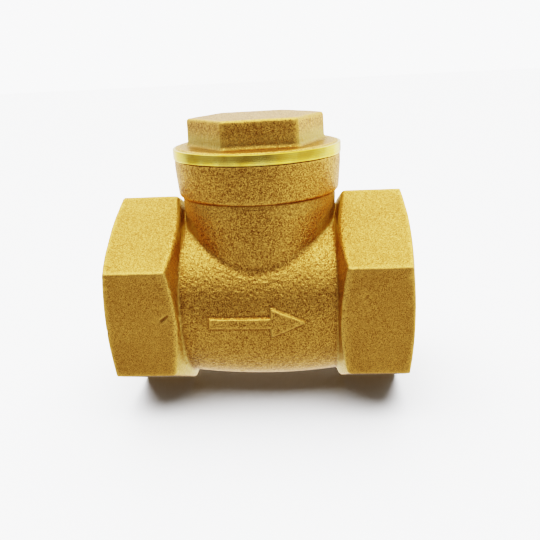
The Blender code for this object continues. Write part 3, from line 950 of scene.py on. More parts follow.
@dataclass(frozen=True)
class BodyForging:
    """The outside of the body as it comes from the dies and the blast cabinet."""

    face: float
    flats: float
    top: float
    face_radius: float = 20.0
    face_chamfer: float = 0.8
    width: float = 13.55
    back_chamfer: float = 1.3
    barrel: float = 19.5
    valley: float = 18.4
    valley_x: float = 16.75
    neck_foot: float = 16.6
    neck_foot_z: float = 10.0
    neck: float = 17.0
    neck_top: float = 24.3
    collar: float = 18.1
    collar_foot: float = 17.7
    collar_bottom: float = 24.1
    collar_full: float = 30.0
    pin: Point = PIN_AT
    boss: float = 5.0
    boss_face: float = 16.6
    skin: float = 0.05
    swell: float = 0.045
    nicks: tuple[tuple[Point, Point, float], ...] = (
        ((-20.1, -20.2, 1.2), (-18.7, -20.2, 2.2), 0.32),
        ((-31.9, -20.1, -1.0), (-31.9, -20.1, -1.3), 0.30),
        ((-32.0, -18.5, -9.4), (-32.0, -18.6, -9.8), 0.35),
        ((31.6, -19.0, 13.2), (31.9, -18.7, 13.4), 0.30),
        ((22.0, -20.3, 5.5), (22.4, -20.3, 5.9), 0.22),
        ((-26.5, -20.3, 5.0), (-26.3, -20.3, 5.2), 0.22),
        ((-5.2, -12.2, -15.3), (-4.8, -12.1, -15.4), 0.40),
    )
    arrow_length: float = 21.0
    arrow_head: float = 8.0
    arrow_width: float = 7.0
    arrow_shaft: float = 2.6
    relief: float = 0.65

    def ends(self, u: Number, y: Number, z: Number, r: Number) -> Number:
        """The two wrench hexagons, chamfered to cones at both ends.

        Args:
            u: The distance from the middle along the flow.
            y: The place across it.
            z: The height.
            r: The distance from the pipe axis.

        Returns:
            The distance in millimetres, negative inside.
        """
        corner = self.flats / math.sqrt(3)
        sides = hexagon_distance(y, z, self.flats, 0.34)
        rise = corner - self.face_radius
        front = (u - self.face) * rise + (r - self.face_radius) * self.face_chamfer
        front = front / math.hypot(rise, self.face_chamfer)
        back_x = self.face - self.width
        run = corner - self.flats / 2
        back = (back_x - u) * run + (r - corner) * self.back_chamfer
        back = back / math.hypot(run, self.back_chamfer)
        shape = smooth_most(smooth_most(sides, front, 0.20), back, 0.75)
        return np.maximum(shape, u - self.face - 0.3)

    def tube(self, u: Number, r: Number) -> Number:
        """The barrel between the hexagons, bulged on an arc.

        Args:
            u: The distance from the middle along the flow.
            r: The distance from the pipe axis.

        Returns:
            The distance in millimetres, negative inside.
        """
        drop = self.barrel - self.valley
        bow = (self.valley_x**2 + drop**2) / (2 * drop)
        inside = np.minimum(u, self.face - 8)
        outer = self.barrel - bow + np.sqrt(bow**2 - inside**2)
        return np.maximum(r - outer, u - (self.face - 8))

    def upright(self, across: Number, z: Number) -> Number:
        """The neck and its collar.

        Args:
            across: The distance from the cap's axis.
            z: The height.

        Returns:
            The distance in millimetres, negative inside.
        """
        taper = (self.neck - self.neck_foot) / (self.neck_top - self.neck_foot_z)
        neck = across - self.neck_foot - (z - self.neck_foot_z) * taper
        draft = (self.collar - self.collar_foot) / (self.collar_full - self.collar_bottom)
        outer = np.minimum(self.collar_foot + (z - self.collar_bottom) * draft, self.collar)
        collar = smooth_most(across - outer, self.collar_bottom - z, 0.75)
        shape = smooth_least(neck, collar, 0.25)
        return np.maximum(np.maximum(shape, z - self.top - 0.3), -z)

    def arrow(self, x: Number, z: Number, r: Number, u: Number) -> Number:
        """The raised flow arrow on both sides of the barrel, soft from the dies.

        Args:
            x: The place along the flow.
            z: The height.
            r: The distance from the pipe axis.
            u: The distance from the middle along the flow.

        Returns:
            The distance in millimetres, negative inside.
        """
        tail, tip = -self.arrow_length / 2, self.arrow_length / 2
        upper = [(tail, self.arrow_shaft / 2), (tip - self.arrow_head, self.arrow_shaft / 2)]
        upper.append((tip - self.arrow_head, self.arrow_width / 2))
        outline = upper + [(tip, 0.0)] + [(a, -b) for a, b in reversed(upper)]
        near = (np.abs(z) < 6) & (u < 14)
        flat = np.where(near, outline_distance(x, np.where(near, z, 9.0), outline), 5.0)
        height = self.tube(u, r) - self.relief
        return smooth_most(flat + 0.12, height, 0.4)

    def distance(self, x: Number, y: Number, z: Number) -> Number:
        """The signed distance to the whole outside.

        Args:
            x: The place along the flow.
            y: The place across it.
            z: The height.

        Returns:
            The distance in millimetres, negative inside.
        """
        u, r, across = np.abs(x), np.hypot(y, z), np.hypot(x, y)
        barrel = self.tube(u, r)
        shape = smooth_least(barrel, self.ends(u, y, z, r), 0.55)
        boss_r = np.hypot(x - self.pin[0], z - self.pin[2]) - self.boss
        boss = np.maximum(np.maximum(boss_r, y - self.boss_face - 0.3), 8 - y)
        upright = smooth_least(self.upright(across, z), boss, 0.8)
        shape = smooth_least(shape, upright, 0.55)
        shape = smooth_least(shape, self.arrow(x, z, r, u), 0.3)
        shape = shape + self.skin + self.swell * waves(x, y, z, 9.0, 7, 3)
        for start, end, radius in self.nicks:
            shape = smooth_most(shape, -self.nick(x, y, z, start, end, radius), 0.25)
        return shape

    def nick(self, x: Number, y: Number, z: Number, start: Point, end: Point, radius: float) -> Number:
        """The signed distance to one small dent that handling left.

        Args:
            x: The place along the flow.
            y: The place across it.
            z: The height.
            start: Where the dent begins.
            end: Where it ends.
            radius: Half its width.

        Returns:
            The distance in millimetres, negative inside.
        """
        way = np.array(end) - start
        share = ((x - start[0]) * way[0] + (y - start[1]) * way[1] + (z - start[2]) * way[2]) / (way @ way)
        share = np.clip(share, 0, 1)
        across = (x - start[0] - share * way[0]) ** 2 + (y - start[1] - share * way[1]) ** 2
        return np.sqrt(across + (z - start[2] - share * way[2]) ** 2) - radius


@dataclass(frozen=True)
class BodyBores:
    """Everything that the lathe and the drill cut from the forging."""

    face: float
    top: float
    depth: float = 14.5
    major: float = 16.62
    minor: float = 15.15
    pitch: float = 2.309
    crest: float = 0.385
    mouth: float = 17.3
    lead_in: float = 2.1
    run_in: float = 2.0
    seat_x: float = -9.0
    seat_bore: float = 10.2
    seat_rim: float = 12.4
    chamber: float = 16.0
    chamber_start: float = -12.0
    chamber_end: float = 14.0
    outlet: float = 13.5
    neck_bore: float = 14.0
    neck_floor: float = 13.0
    cap_major: float = 15.05
    cap_minor: float = 14.2
    cap_pitch: float = 1.5
    cap_start: float = 20.5
    cap_mouth: float = 15.4
    cap_lead_in: float = 1.2
    gasket_seat: float = 30.8
    gasket_radius: float = 16.9
    pin: Point = PIN_AT
    pin_hole: float = 1.8
    plug_hole: float = 2.8
    pin_front: float = -12.5
    pin_rear: float = 12.1
    boss_face: float = 16.6

    def socket(self) -> Thread:
        """A pipe socket's thread, from its deep end out to the face.

        Returns:
            The thread, which runs in from nothing at its deep end.
        """
        taper = (self.mouth - self.minor) / self.lead_in
        flank = self.pitch / 2 - self.crest
        return Thread(
            self.face - self.depth, self.face, self.major, self.minor, self.pitch, self.crest, flank,
            self.mouth, taper, self.run_in,
        )

    def flow_path(self, share: float) -> Outline:
        """The way through from face to face, with the faces themselves.

        Args:
            share: The share of the turn.

        Returns:
            The (radius, height) points.
        """
        thread = self.socket()
        inlet = [(r, -h) for r, h in reversed(thread.column(1 - share))]
        seat = eased(
            [
                (self.minor, -thread.start), (self.seat_bore, -thread.start), (self.seat_bore, self.seat_x),
                (self.seat_rim, self.seat_x), (self.seat_rim, self.chamber_start),
                (self.chamber, self.chamber_start), (self.chamber, self.chamber_end),
                (self.outlet, self.chamber_end), (self.outlet, thread.start), (self.minor, thread.start),
            ],
            0.35, 2,
        )
        past, wide = self.face + 2, 26.0
        before = [(0, -past), (wide, -past), (wide, -self.face)]
        after = [(wide, self.face), (wide, past), (0, past)]
        return before + inlet + [(r, h) for r, h in seat] + thread.column(share) + after

    def neck_path(self, share: float) -> Outline:
        """The way down the neck, with the collar's top.

        Args:
            share: The share of the turn.

        Returns:
            The (radius, height) points.
        """
        crest = 0.32
        thread = Thread(
            self.cap_start, self.gasket_seat, self.cap_major, self.cap_minor, self.cap_pitch, crest,
            (self.cap_pitch - crest - 0.2) / 2, self.cap_mouth,
            (self.cap_mouth - self.cap_minor) / self.cap_lead_in,
        )
        lower = [(0, self.neck_floor), (self.neck_bore, self.neck_floor), (self.neck_bore, self.cap_start)]
        ease, wide, past = 0.2, 22.0, self.top + 2
        upper = [
            (self.gasket_radius, self.gasket_seat), (self.gasket_radius, self.top - ease),
            (self.gasket_radius + ease, self.top), (wide, self.top), (wide, past), (0, past),
        ]
        return lower + thread.column(share) + upper

    def pin_path(self, share: float) -> Outline:
        """The pin's blind hole, the plug's hole and the boss's spot face.

        Args:
            share: The share of the turn, which is not used.

        Returns:
            The (radius, height) points.
        """
        ease, wide, past = 0.35, 6.4, 19.0
        return [
            (0, self.pin_front - 0.6), (self.pin_hole, self.pin_front), (self.pin_hole, self.pin_rear),
            (self.plug_hole, self.pin_rear), (self.plug_hole, self.boss_face - ease),
            (self.plug_hole + ease, self.boss_face), (wide, self.boss_face), (wide, past), (0, past),
        ]


@dataclass(frozen=True)
class ValveBody:
    """The body: a blasted forging with turned sockets, seat, neck thread and pin hole."""

    cell: float = 0.30
    thin: float = 0.42
    lug: float = 3.6
    lug_start: float = 8.5
    lug_end: float = 14.5
    lug_skin: float = 16.2

    def lugs(self, bores: BodyBores, finishes: Sequence[bpy.types.Material]) -> list[bpy.types.Object]:
        """The two ears inside the neck that carry the pin.

        Args:
            bores: The bores that they reach into.
            finishes: The body's materials.

        Returns:
            The ears as objects.
        """
        made = []
        for side in (-1, 1):
            start, end = sorted((self.lug_start * side, self.lug_end * side))
            outline = eased([(0, start), (self.lug, start), (self.lug, end), (0, end)], 0.5)
            lug = spin("lug", lambda share: outline, finishes, Axis.Y, bores.pin, 64)
            skin = [(0, 0), (self.lug_skin, 0), (self.lug_skin, bores.top), (0, bores.top)]
            combine(lug, spin("skin", lambda share: skin, finishes), "INTERSECT")
            made.append(lug)
        return made

    def build(self) -> None:
        """Makes the body and hangs it on the frame."""
        low, high = node_box("body")
        forging = BodyForging(high[0], high[1] * 2, high[2])
        bores = BodyBores(high[0], high[2])
        finishes = [
            BlastedBrass("blasted_body").material(),
            TurnedBrass("turned_flow_path", roughness=0.27).material(),
            TurnedBrass("turned_neck", Axis.Z).material(),
            TurnedBrass("turned_pin_boss", Axis.Y, bores.pin).material(),
        ]
        cell = self.cell
        body = forge("valve_body", forging.distance, (low, high), cell, finishes, self.thin)
        segments = 144
        flow = spin("flow_path", bores.flow_path, finishes, Axis.X, segments=segments)
        neck = spin("neck_path", bores.neck_path, finishes, Axis.Z, segments=segments)
        pin = spin("pin_path", bores.pin_path, finishes, Axis.Y, bores.pin)
        combine(body, paint_faces(flow, 1), "DIFFERENCE")
        combine(body, paint_faces(neck, 2), "DIFFERENCE")
        for lug in self.lugs(bores, finishes):
            combine(body, lug, "UNION")
        combine(body, paint_faces(pin, 3), "DIFFERENCE")
        # Stores the edge lightening, as wear and painted highlight, and the painted bounce light of the
        # recesses.
        WearAndPaintedLightMap(forging.distance).store(body)
        hang(body, "body", Body.VALVE)


# ---------------------------------------------------------------- the cap


@dataclass(frozen=True)
class CapForging:
    """The cap's outside: a soft-edged hexagon on a flange."""

    top: float
    flange_bottom: float = 32.08
    flange_top: float = 34.3
    foot: float = 17.95
    foot_top: float = 34.62
    flats: float = 26.0
    turn: float = math.radians(8)

    def distance(self, x: Number, y: Number, z: Number) -> Number:
        """The signed distance to the cap's outside above its thread.

        Args:
            x: The place along the flow.
            y: The place across it.
            z: The height.

        Returns:
            The distance in millimetres, negative inside.
        """
        along = x * math.cos(self.turn) + y * math.sin(self.turn)
        across = y * math.cos(self.turn) - x * math.sin(self.turn)
        sides = hexagon_distance(across, along, self.flats + 0.30, 0.75) + (z - self.flange_top) * 0.03
        crown = z - self.top + 0.0003 * (x * x + y * y)
        head = smooth_most(sides, crown, 0.7)
        head = np.maximum(head, self.flange_bottom + 1 - z)
        foot = smooth_most(np.hypot(x, y) - self.foot, z - self.foot_top, 1.1)
        foot = np.maximum(foot, self.flange_bottom + 1 - z)
        return smooth_least(head, foot, 1.1) + 0.03 * (1 + waves(x, y, z, 5.0, 7, 11))


@dataclass(frozen=True)
class ScrewCap:
    """The cap with its thread and its hollow."""

    cell: float = 0.22
    thin: float = 0.5
    plug_bottom: float = 22.5
    plug_top: float = 30.2
    major: float = 14.75
    minor: float = 13.9
    pitch: float = 1.5
    hollow: float = 10.8
    hollow_top: float = 36.5
    flange: float = 18.25
    half_width: float = 18.0

    def plug(self, share: float) -> Outline:
        """The threaded plug up into the flange.

        Args:
            share: The share of the turn.

        Returns:
            The (radius, height) points.
        """
        thread = Thread(self.plug_bottom, self.plug_top, self.major, self.minor, self.pitch, 0.2, 0.49)
        top = 33.2
        return [(0, self.plug_bottom)] + thread.column(share) + [(self.minor, top), (0, top)]

    def rim(self, bottom: float, top: float) -> Outline:
        """The flange's half section, its edges broken by the lathe."""
        return eased([(0, bottom), (self.flange, bottom), (self.flange, top), (0, top)], 0.22)

    def bore(self, share: float) -> Outline:
        """The hollow under the cap, which a drill left.

        Args:
            share: The share of the turn, which is not used.

        Returns:
            The (radius, height) points.
        """
        start, end, lean, rise = self.plug_bottom - 1, self.hollow_top, 1.2, 0.6
        wall = [(self.hollow, start), (self.hollow, end - lean), (self.hollow - lean, end)]
        return [(0, start), *wall, (0, end + rise)]

    def build(self) -> None:
        """Makes the cap and hangs it on the frame."""
        top = node_box("cap")[1][2]
        forging = CapForging(top)
        finishes = [
            # The cap's edges are lightened more, as wear and painted highlight.
            BlastedBrass("blasted_cap", ripple_depth=0.10, peel_depth=0.05, edge_wear_and_highlight=0.9).material(),
            TurnedBrass(
                "turned_flange", Axis.Z, deep=(0.95, 0.62, 0.09), light=(1.0, 0.82, 0.26),
                roughness=0.14, stained=0.35,
            ).material(),
            TurnedBrass("turned_cap_thread", Axis.Z).material(),
        ]
        cell = self.cell
        half = self.half_width
        region = [-half, -half, forging.flange_bottom], [half, half, top]
        cap = forge("screw_cap", forging.distance, region, cell, finishes, self.thin)
        rim = self.rim(forging.flange_bottom, forging.flange_top)
        combine(cap, paint_faces(spin("flange", lambda share: rim, finishes, segments=192), 1), "UNION")
        combine(cap, paint_faces(spin("plug", self.plug, finishes, segments=120), 2), "UNION")
        combine(cap, paint_faces(spin("hollow", self.bore, finishes), 2), "DIFFERENCE")
        # Stores the edge lightening, as wear and painted highlight, and the painted bounce light of the
        # recesses.
        WearAndPaintedLightMap(forging.distance).store(cap)
        hang(cap, "cap", Body.CAP)


# ---------------------------------------------------------------- turned and small pieces


@dataclass(frozen=True)
class TurnedPiece:
    """A small turned piece that fills its CAD node's box round one axis."""

    name: str
    node: str
    body: Body
    slot: Slot
    finish: Finish
    axis: Axis
    bore: float = 0.0
    ease: float = 0.15

    def limits(self) -> tuple[float, float, float, Point]:
        """Its measures, from its CAD node's box.

        Returns:
            Its start and end along the axis, its outer radius and its centre.
        """
        low, high = node_box(self.node)
        k = self.axis.number
        middle = (low + high) / 2
        middle[k] = 0
        radius = max(np.delete(high - low, k)) / 2
        return low[k], high[k], radius, tuple(middle)

    def outline(self) -> Outline:
        """The half section, with eased corners.

        Returns:
            The (radius, height) points.
        """
        start, end, radius, _ = self.limits()
        if self.bore:
            ring = [(self.bore, start), (radius, start), (radius, end), (self.bore, end)]
            ring = eased(ring, self.ease, closed=True)
            return ring + ring[:1]
        return eased([(0, start), (radius, start), (radius, end), (0, end)], self.ease)

    def build(self) -> None:
        """Makes the piece and hangs it on the frame."""
        outline = self.outline()
        centre = self.limits()[3]
        made = spin(self.name, lambda share: outline, [self.finish.material()], self.axis, centre)
        hang(made, self.node, self.body)


@dataclass(frozen=True)
class SlottedScrew(TurnedPiece):
    """A cheese-headed screw with a driver slot."""

    head: float = 1.6
    shank: float = 1.4
    head_first: bool = True
    slot_width: float = 0.7
    slot_depth: float = 0.8
    pitch: float = 0.5

    def build(self) -> None:
        """Makes the screw with its thread and its slot."""
        start, end, radius, centre = self.limits()
        finish = self.finish.material()
        length = end - start
        thread = Thread(
            self.head + 0.3, length - 0.2, self.shank, self.shank - 0.61 * self.pitch, self.pitch,
            self.pitch * 0.13, self.pitch * 0.36,
        )

        def column(share: float) -> Outline:
            """The head from its top, then the threaded shank.

            Args:
                share: The share of the turn.

            Returns:
                The (radius, height) points.
            """
            head = eased([(0, 0), (radius, 0), (radius, self.head), (thread.inner, self.head)], 0.35)
            raw = head + thread.column(share) + [(thread.inner - 0.2, length), (0, length)]
            return [(r, start + h) if self.head_first else (r, end - h) for r, h in raw]

        made = spin(self.name, column, [finish], self.axis, centre, 64)
        top = start if self.head_first else end
        inward = 1 if self.head_first else -1
        depths = sorted((top - inward, top + inward * self.slot_depth))
        half = self.slot_width / 2
        box = np.array([(x, y, z) for x in (-half, half) for y in (-radius - 1, radius + 1) for z in depths])
        faces = [(0, 1, 3, 2), (4, 6, 7, 5), (0, 4, 5, 1), (2, 3, 7, 6), (0, 2, 6, 4), (1, 5, 7, 3)]
        turned = box @ Matrix.Rotation(math.radians(24), 3, "Z") @ self.axis.turn.T + centre
        combine(made, make_object("slot", turned, faces, [finish], join_doubles), "DIFFERENCE")
        hang(made, self.node, self.body)


@dataclass(frozen=True)
class Disc(TurnedPiece):
    """The disc with its seal pocket and its threaded stud."""

    pocket: float = 11.5
    floor: float = -6.6
    back: float = -5.4
    back_radius: float = 11.0
    stud: float = 2.5
    screw_hole: float = 1.7
    screw_end: float = -1.6
    pitch: float = 0.8

    def build(self) -> None:
        """Makes the disc and drills its stud."""
        rim, end, radius, centre = self.limits()
        root = self.stud - 0.61 * self.pitch
        thread = Thread(self.back + 1.2, end - 0.4, self.stud, root, self.pitch, 0.1, 0.29)

        def column(share: float) -> Outline:
            """From the screw's hole round the rim to the stud's end.

            Args:
                share: The share of the turn.

            Returns:
                The (radius, height) points.
            """
            front = [
                (0, self.screw_end), (self.screw_hole, self.screw_end), (self.screw_hole, self.floor),
                (self.pocket, self.floor), (self.pocket, rim), (radius, rim), (radius, self.floor - 0.1),
                (self.back_radius, self.back), (self.stud + 0.9, self.back), (thread.inner, self.back + 0.5),
            ]
            return eased(front, 0.2) + thread.column(share) + [(thread.inner - 0.3, end), (0, end)]

        made = spin(self.name, column, [self.finish.material()], self.axis, centre, 120)
        hole = [(0, -4), (0.6, -4), (0.6, 4), (0, 4)]
        low, high = node_box("split_pin")
        at = ((low[0] + high[0]) / 2, 0.0, 0.0)
        combine(made, spin("hole", lambda share: hole, [], Axis.Y, at, 32), "DIFFERENCE")
        hang(made, self.node, self.body)


@dataclass(frozen=True)
class HexNut(TurnedPiece):
    """A hexagon nut, chamfered on both faces."""

    pitch: float = 0.8
    chamfer: float = 0.35

    def build(self) -> None:
        """Makes the nut with its threaded bore."""
        start, end, corner, _ = self.limits()
        half, wide = corner * math.sqrt(0.75), corner + 0.05
        low, high = start + self.chamfer, end - self.chamfer
        finish = self.finish.material()
        outline = [(0, start), (half, start), (wide, low), (wide, high), (half, end), (0, end)]
        made = spin(self.name, lambda share: outline, [finish], self.axis)
        radius = half / math.cos(math.radians(30)) + 0.02
        ring = [(radius * math.cos(a), radius * math.sin(a)) for a in np.radians(range(0, 360, 60))]
        points = np.array([(x, y, z) for z in (start - 1, end + 1) for x, y in ring])
        faces = [tuple(range(5, -1, -1)), tuple(range(6, 12))]
        faces += [(i, (i + 1) % 6, (i + 1) % 6 + 6, i + 6) for i in range(6)]
        combine(made, make_object("prism", points @ self.axis.turn.T, faces, []), "INTERSECT")
        thread = Thread(start - 0.4, end + 0.4, self.bore + 0.2, self.bore - 0.2, self.pitch, 0.1, 0.29)

        def column(share: float) -> Outline:
            """The threaded hole from end to end."""
            return [(0, thread.start)] + thread.column(share) + [(0, thread.end)]

        combine(made, spin("bore", column, [finish], self.axis, segments=64), "DIFFERENCE")
        hang(made, self.node, self.body)


def wire_mesh(
    name: str, path: np.ndarray, section: Outline, finish: bpy.types.Material, closed: bool = False
) -> bpy.types.Object:
    """A bar of one section along a path in millimetres.

    Args:
        name: The piece's name.
        path: The points that the bar follows.
        section: The section's outline, across and up.
        finish: Its material.
        closed: Whether the path's end joins its start.

    Returns:
        The object.
    """
    ahead = np.roll(path, -1, 0) - np.roll(path, 1, 0)
    if not closed:
        ahead[0], ahead[-1] = path[1] - path[0], path[-1] - path[-2]
    ahead /= np.linalg.norm(ahead, axis=1)[:, None]
    up = np.array([1.0, 0.0, 0.0]) - ahead * ahead[:, :1]
    up /= np.linalg.norm(up, axis=1)[:, None]
    side = np.cross(ahead, up)
    shape = np.array(section)
    points = path[:, None] + side[:, None] * shape[None, :, :1] + up[:, None] * shape[None, :, 1:]
    rows, count = len(path), len(section)
    i, k = np.meshgrid(np.arange(rows if closed else rows - 1), np.arange(count), indexing="ij")
    here, there = i * count, (i + 1) % rows * count
    after = (k + 1) % count
    faces = np.stack([here + k, here + after, there + after, there + k], 2).reshape(-1, 4).tolist()
    if not closed:
        faces += [list(range(count))[::-1], [(rows - 1) * count + n for n in range(count)]]
    return make_object(name, points.reshape(-1, 3), faces, [finish], face_outwards)


@dataclass(frozen=True)
class SpringWasher(TurnedPiece):
    """A split washer, a square wire that rises a little from one end of its split to the other."""

    split: float = math.radians(12)
    thickness: float = 0.78
    steps: int = 72

    def build(self) -> None:
        """Makes the washer."""
        start, end, radius, _ = self.limits()
        half, middle = (radius - self.bore) / 2, (radius + self.bore) / 2
        tall = (end - start) * self.thickness / 2
        angle = np.linspace(self.split / 2, 2 * math.pi - self.split / 2, self.steps)
        rise = np.linspace(start + tall, end - tall, self.steps)
        path = np.stack([rise, middle * np.cos(angle), middle * np.sin(angle)], 1)
        square = [(-half, -tall), (half, -tall), (half, tall), (-half, tall)]
        made = wire_mesh(self.name, path, eased(square, 0.12, 2, closed=True), self.finish.material())
        hang(made, self.node, self.body)


@dataclass(frozen=True)
class SplitPin(TurnedPiece):
    """A split pin: half-round wire folded at an eye, its legs spread behind the stud."""

    wire: float = 0.26
    eye: float = 0.62
    eye_turn: float = 2.5
    stud: float = 2.5
    start: tuple[tuple[float, float], ...] = ((-5.0, -2.1), (-4.4, -1.1), (-3.6, -0.5))
    end: tuple[tuple[float, float], ...] = ((-3.4, 0.5), (-4.0, 1.2), (-4.3, 2.2))

    def build(self) -> None:
        """Makes the pin along one bent wire."""
        low, high = node_box(self.node)
        x = (low[0] + high[0]) / 2
        gap = self.wire * 1.02
        leg = np.linspace(-2.8, self.stud + 0.2, 10)
        centre = self.stud + 0.5 + self.eye
        turn = np.linspace(-self.eye_turn, self.eye_turn, 19)
        route = [*self.start, *((y, -gap) for y in leg)]
        route += [(centre + self.eye * math.cos(a), self.eye * math.sin(a)) for a in turn]
        route += [*((y, gap) for y in reversed(leg)), *self.end]
        path = np.array([(x, y, z) for y, z in route])
        for _ in range(2):
            middle = (path[1:] + path[:-1]) / 2
            path = np.concatenate([path[:1], (middle[1:] + middle[:-1]) / 2, path[-1:]])
        round_wire = np.linspace(0, 2 * math.pi, 12, endpoint=False)
        ring = [(self.wire * math.cos(a), self.wire * math.sin(a)) for a in round_wire]
        made = wire_mesh(self.name, path, ring, self.finish.material())
        hang(made, self.node, self.body)


@dataclass(frozen=True)
class ArmCasting:
    """The swing arm's shape: knuckle, cranked lever and eye."""

    back: float
    front: float
    pin: Point = PIN_AT
    knuckle: float = 3.35
    half: float = 6.9
    eye: float = 5.4
    half_width: float = 3.4

    def distance(self, x: Number, y: Number, z: Number) -> Number:
        """The signed distance to the arm.

        Args:
            x: The place along the flow.
            y: The place across it.
            z: The height.

        Returns:
            The distance in millimetres, negative inside.
        """
        px, _, pz = self.pin
        knuckle = smooth_most(np.hypot(x - px, z - pz) - self.knuckle, np.abs(y) - self.half, 0.5)
        plate = np.maximum(self.back - x, x - self.front)
        eye = smooth_most(np.hypot(y, z) - self.eye, plate, 0.35)
        side = [
            (self.back, 0.0), (self.front, 0.0), (self.front, pz - 3.6), (px + 2.4, pz + 2.0),
            (px - 1.0, pz + 1.0), (px, pz - 2.6), (self.back, pz - 3.6),
        ]
        lever = smooth_most(outline_distance(x, z, side), np.abs(y) - self.half_width, 0.5)
        return smooth_least(smooth_least(knuckle, lever, 0.9), eye, 0.9) + 0.04


@dataclass(frozen=True)
class HingeArm:
    """The arm that carries the disc."""

    cell: float = 0.28
    pin_hole: float = 1.8
    stud_hole: float = 2.8

    def build(self) -> None:
        """Makes the arm and hangs it on the frame."""
        low, high = node_box("hinge_arm")
        casting = ArmCasting(-5.1, high[0] if high[0] < 0 else -3.3)
        finishes = [
            BlastedBrass("blasted_arm", dimple=0.35, dimple_depth=0.035, peel_depth=0.02).material(),
            TurnedBrass("turned_arm", Axis.X).material(),
        ]
        cell = self.cell
        arm = forge("swing_arm", casting.distance, (low, high), cell, finishes)
        pin = [(0, -9), (self.pin_hole, -9), (self.pin_hole, 9), (0, 9)]
        stud = [(0, -9), (self.stud_hole, -9), (self.stud_hole, 0), (0, 0)]
        pin_tool = spin("pin", lambda share: pin, finishes, Axis.Y, casting.pin, 48)
        combine(arm, paint_faces(pin_tool, 1), "DIFFERENCE")
        stud_tool = spin("stud", lambda share: stud, finishes, Axis.X, segments=48)
        combine(arm, paint_faces(stud_tool, 1), "DIFFERENCE")
        # Stores the edge lightening, as wear and painted highlight, and the painted bounce light of the
        # recesses.
        WearAndPaintedLightMap(casting.distance).store(arm)
        hang(arm, "hinge_arm", Body.ARM)


@dataclass(frozen=True)
class Trim:
    """The pieces that are turned, stamped or bent."""

    pin: Point = PIN_AT

    def pieces(self) -> list[TurnedPiece]:
        """The hinge's, the disc's and the cap's small pieces.

        Returns:
            The pieces, in the order they are made.
        """
        brass_y = TurnedBrass("turned_pin_pieces", Axis.Y, self.pin)
        brass_x = TurnedBrass("turned_disc_pieces", Axis.X)
        steel = Steel("satin_steel")
        return [
            TurnedPiece(
                "gasket_ring", "cap_gasket", Body.GASKET, Slot.FIBRE, Fibre("gasket_sheet"), Axis.Z, 15.1, 0.2
            ),
            TurnedPiece("hinge_rod", "hinge_pin", Body.VALVE, Slot.STEEL, steel, Axis.Y, 0.0, 0.35),
            TurnedPiece("front_side_washer", "pin_washer_front", Body.VALVE, Slot.TURNED, brass_y, Axis.Y, 1.8),
            TurnedPiece("rear_side_washer", "pin_washer_rear", Body.VALVE, Slot.TURNED, brass_y, Axis.Y, 1.8),
            TurnedPiece(
                "plug_seal", "plug_washer", Body.VALVE, Slot.FIBRE, Fibre("plug_seal_sheet"), Axis.Y, 2.8
            ),
            SlottedScrew(
                "hinge_plug", "pin_plug", Body.VALVE, Slot.TURNED, brass_y, Axis.Y,
                head=1.9, shank=2.5, head_first=False, slot_width=1.2, slot_depth=0.9, pitch=0.8,
            ),
            Disc("clapper_disc", "disc", Body.DISC, Slot.TURNED, brass_x, Axis.X),
            TurnedPiece(
                "seal_ring", "disc_seal", Body.DISC, Slot.RUBBER, Rubber("black_rubber"), Axis.X, 1.8, 0.4
            ),
            TurnedPiece("clamp_plate", "seal_plate", Body.DISC, Slot.STEEL, steel, Axis.X, 1.7, 0.35),
            SpringWasher("lock_washer", "spring_washer", Body.DISC, Slot.STEEL, steel, Axis.X, 1.7),
            SlottedScrew("clamp_screw", "plate_screw", Body.DISC, Slot.STEEL, steel, Axis.X),
            TurnedPiece("stud_washer", "disc_washer", Body.DISC, Slot.STEEL, steel, Axis.X, 2.8),
            HexNut("stud_nut", "disc_nut", Body.DISC, Slot.TURNED, brass_x, Axis.X, 2.6),
            SplitPin("cotter", "split_pin", Body.DISC, Slot.STEEL, steel, Axis.X),
        ]

    def build(self) -> None:
        """Makes them all."""
        for piece in self.pieces():
            piece.build()


# ---------------------------------------------------------------- studio


